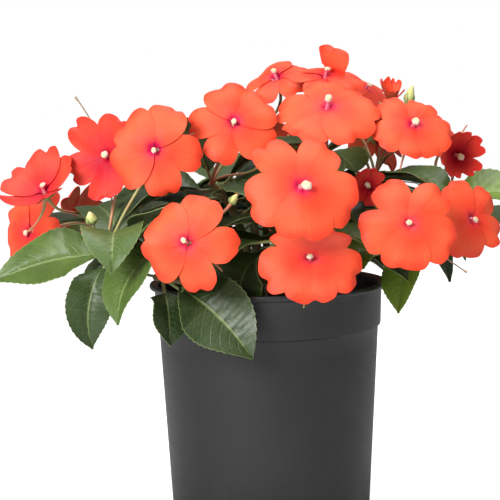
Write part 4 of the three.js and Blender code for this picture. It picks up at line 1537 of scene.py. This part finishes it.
# %% Grow the inner leaves
INNER_TEETH = 11
small_blade = grid("small_blade", 6, 22)
inner_pieces = []
for stem in STEMS:
    mine = [leaf for leaf in inner_leaves if leaf["stem"] == stem]
    if mine:
        blades = [leaf_piece(small_blade, leaf, "blade", INNER_TEETH) for leaf in mine]
        piece = finished(joined(stem + "_inner_leaves", blades), leaf_top, leaf_under)
        piece = smoothed(thickened(piece, 0.4, under=1), 60)
        inner_pieces.append(dressed(piece, "foliage", "stem_" + stem))
        stalks = joined(stem + "_inner_stalks", [leaf_stalk(leaf, "stalk") for leaf in mine])
        stalks = smoothed(finished(stalks, leaf_stalk_skin), 60)
        inner_pieces.append(dressed(stalks, "foliage", "stem_" + stem))
discard(small_blade)
print("inner pieces:", len(inner_pieces))

# %% [markdown]
# ## Spent stalks
# Two flower stalks have dropped their blooms. They stay on for a while as thin dry threads. They
# are the same kind of curve as the other stalks, with four points written down for each.

# %% Spent stalks
SPENT = [
    ("left_front", [(-106, -66, 205), (-100, -50, 240), (-104, -44, 276), (-127, -44, 307)], 0.5),
    ("front_right", [(90, -69, 205), (96, -84, 212), (104, -96, 206), (124, -104, 192)], 0.45),
]
for stem, route, radius in SPENT:
    path = cubic(*map(Vector, route), 24)
    radii = [0.9 - (0.9 - radius) * min(1, i / 12) for i in range(24)] + [1.0]
    thread = finished(tube(stem + "_spent_stalk", path, radii, 8), dry_skin)
    dressed(smoothed(thread, 60), "foliage", "stem_" + stem)
print("spent stalks:", len(SPENT))

# %% [markdown]
# ## Floor and light
# A product picture on white needs a ground that looks white and still takes a shadow. A very
# bright floor would also light the plant from below. So floor and world are white only to rays
# that come from the camera, and dimmer to all others. One wide soft light stands at the left
# front, a weak one fills from the right, and a third above brightens the upper petals.

# %% Floor, world and lights
FLOOR_GLOW = 0.86
WORLD_LIGHT = 0.2
AIM = Vector((0, 0, 0.22))


def make_floor():
    deselect()
    bpy.ops.mesh.primitive_plane_add(size=8)
    floor = named(bpy.context.active_object, "floor")
    material, tree, shader = new_finish("floor_pale")
    cloud = noise_of(tree, place_of(tree), 3.0, 3.0)
    pale = ramp(tree, cloud, (0.3, (0.6, 0.6, 0.6)), (0.7, (0.63, 0.63, 0.63)))
    plug(tree, shader.inputs["Base Color"], pale)
    constants(shader, Roughness=0.8, Emission_Color=(1, 1, 1, 1))
    seen = add_node(tree, "LightPath").outputs["Is Camera Ray"]
    plug(tree, shader.inputs["Emission Strength"], sums(tree, "MULTIPLY", seen, FLOOR_GLOW))
    finished(floor, material)
    return floor


def make_light(name, place, power, size):
    data = bpy.data.lights.new(name, "AREA")
    data.energy, data.size = power, size
    light = bpy.data.objects.new(name, data)
    bpy.context.scene.collection.objects.link(light)
    place = Vector(place)
    turn = (place - AIM).to_track_quat("Z", "Y").to_matrix().to_4x4()
    light.matrix_world = Matrix.Translation(place) @ turn
    return light


floor = make_floor()
lights = [
    make_light("key", (-0.85, -1.35, 0.9), 36, 0.7),
    make_light("fill", (0.7, -0.9, 1.5), 5, 1.0),
    make_light("top", (0.0, 0.0, 2.0), 29, 1.4),
]


def make_world():
    """White as the picture's ground, and dimmer as a light than as a ground."""
    world = bpy.data.worlds.new("world")
    world.use_nodes = True
    tree = world.node_tree
    seen = add_node(tree, "LightPath").outputs["Is Camera Ray"]
    tree.nodes["Background"].inputs[0].default_value = (1, 1, 1, 1)
    strength = sums(tree, "MULTIPLY_ADD", seen, 1 - WORLD_LIGHT, WORLD_LIGHT)
    plug(tree, tree.nodes["Background"].inputs[1], strength)
    return world


bpy.context.scene.world = make_world()
bpy.context.scene.view_settings.view_transform = "Standard"
print("lights:", len(lights))
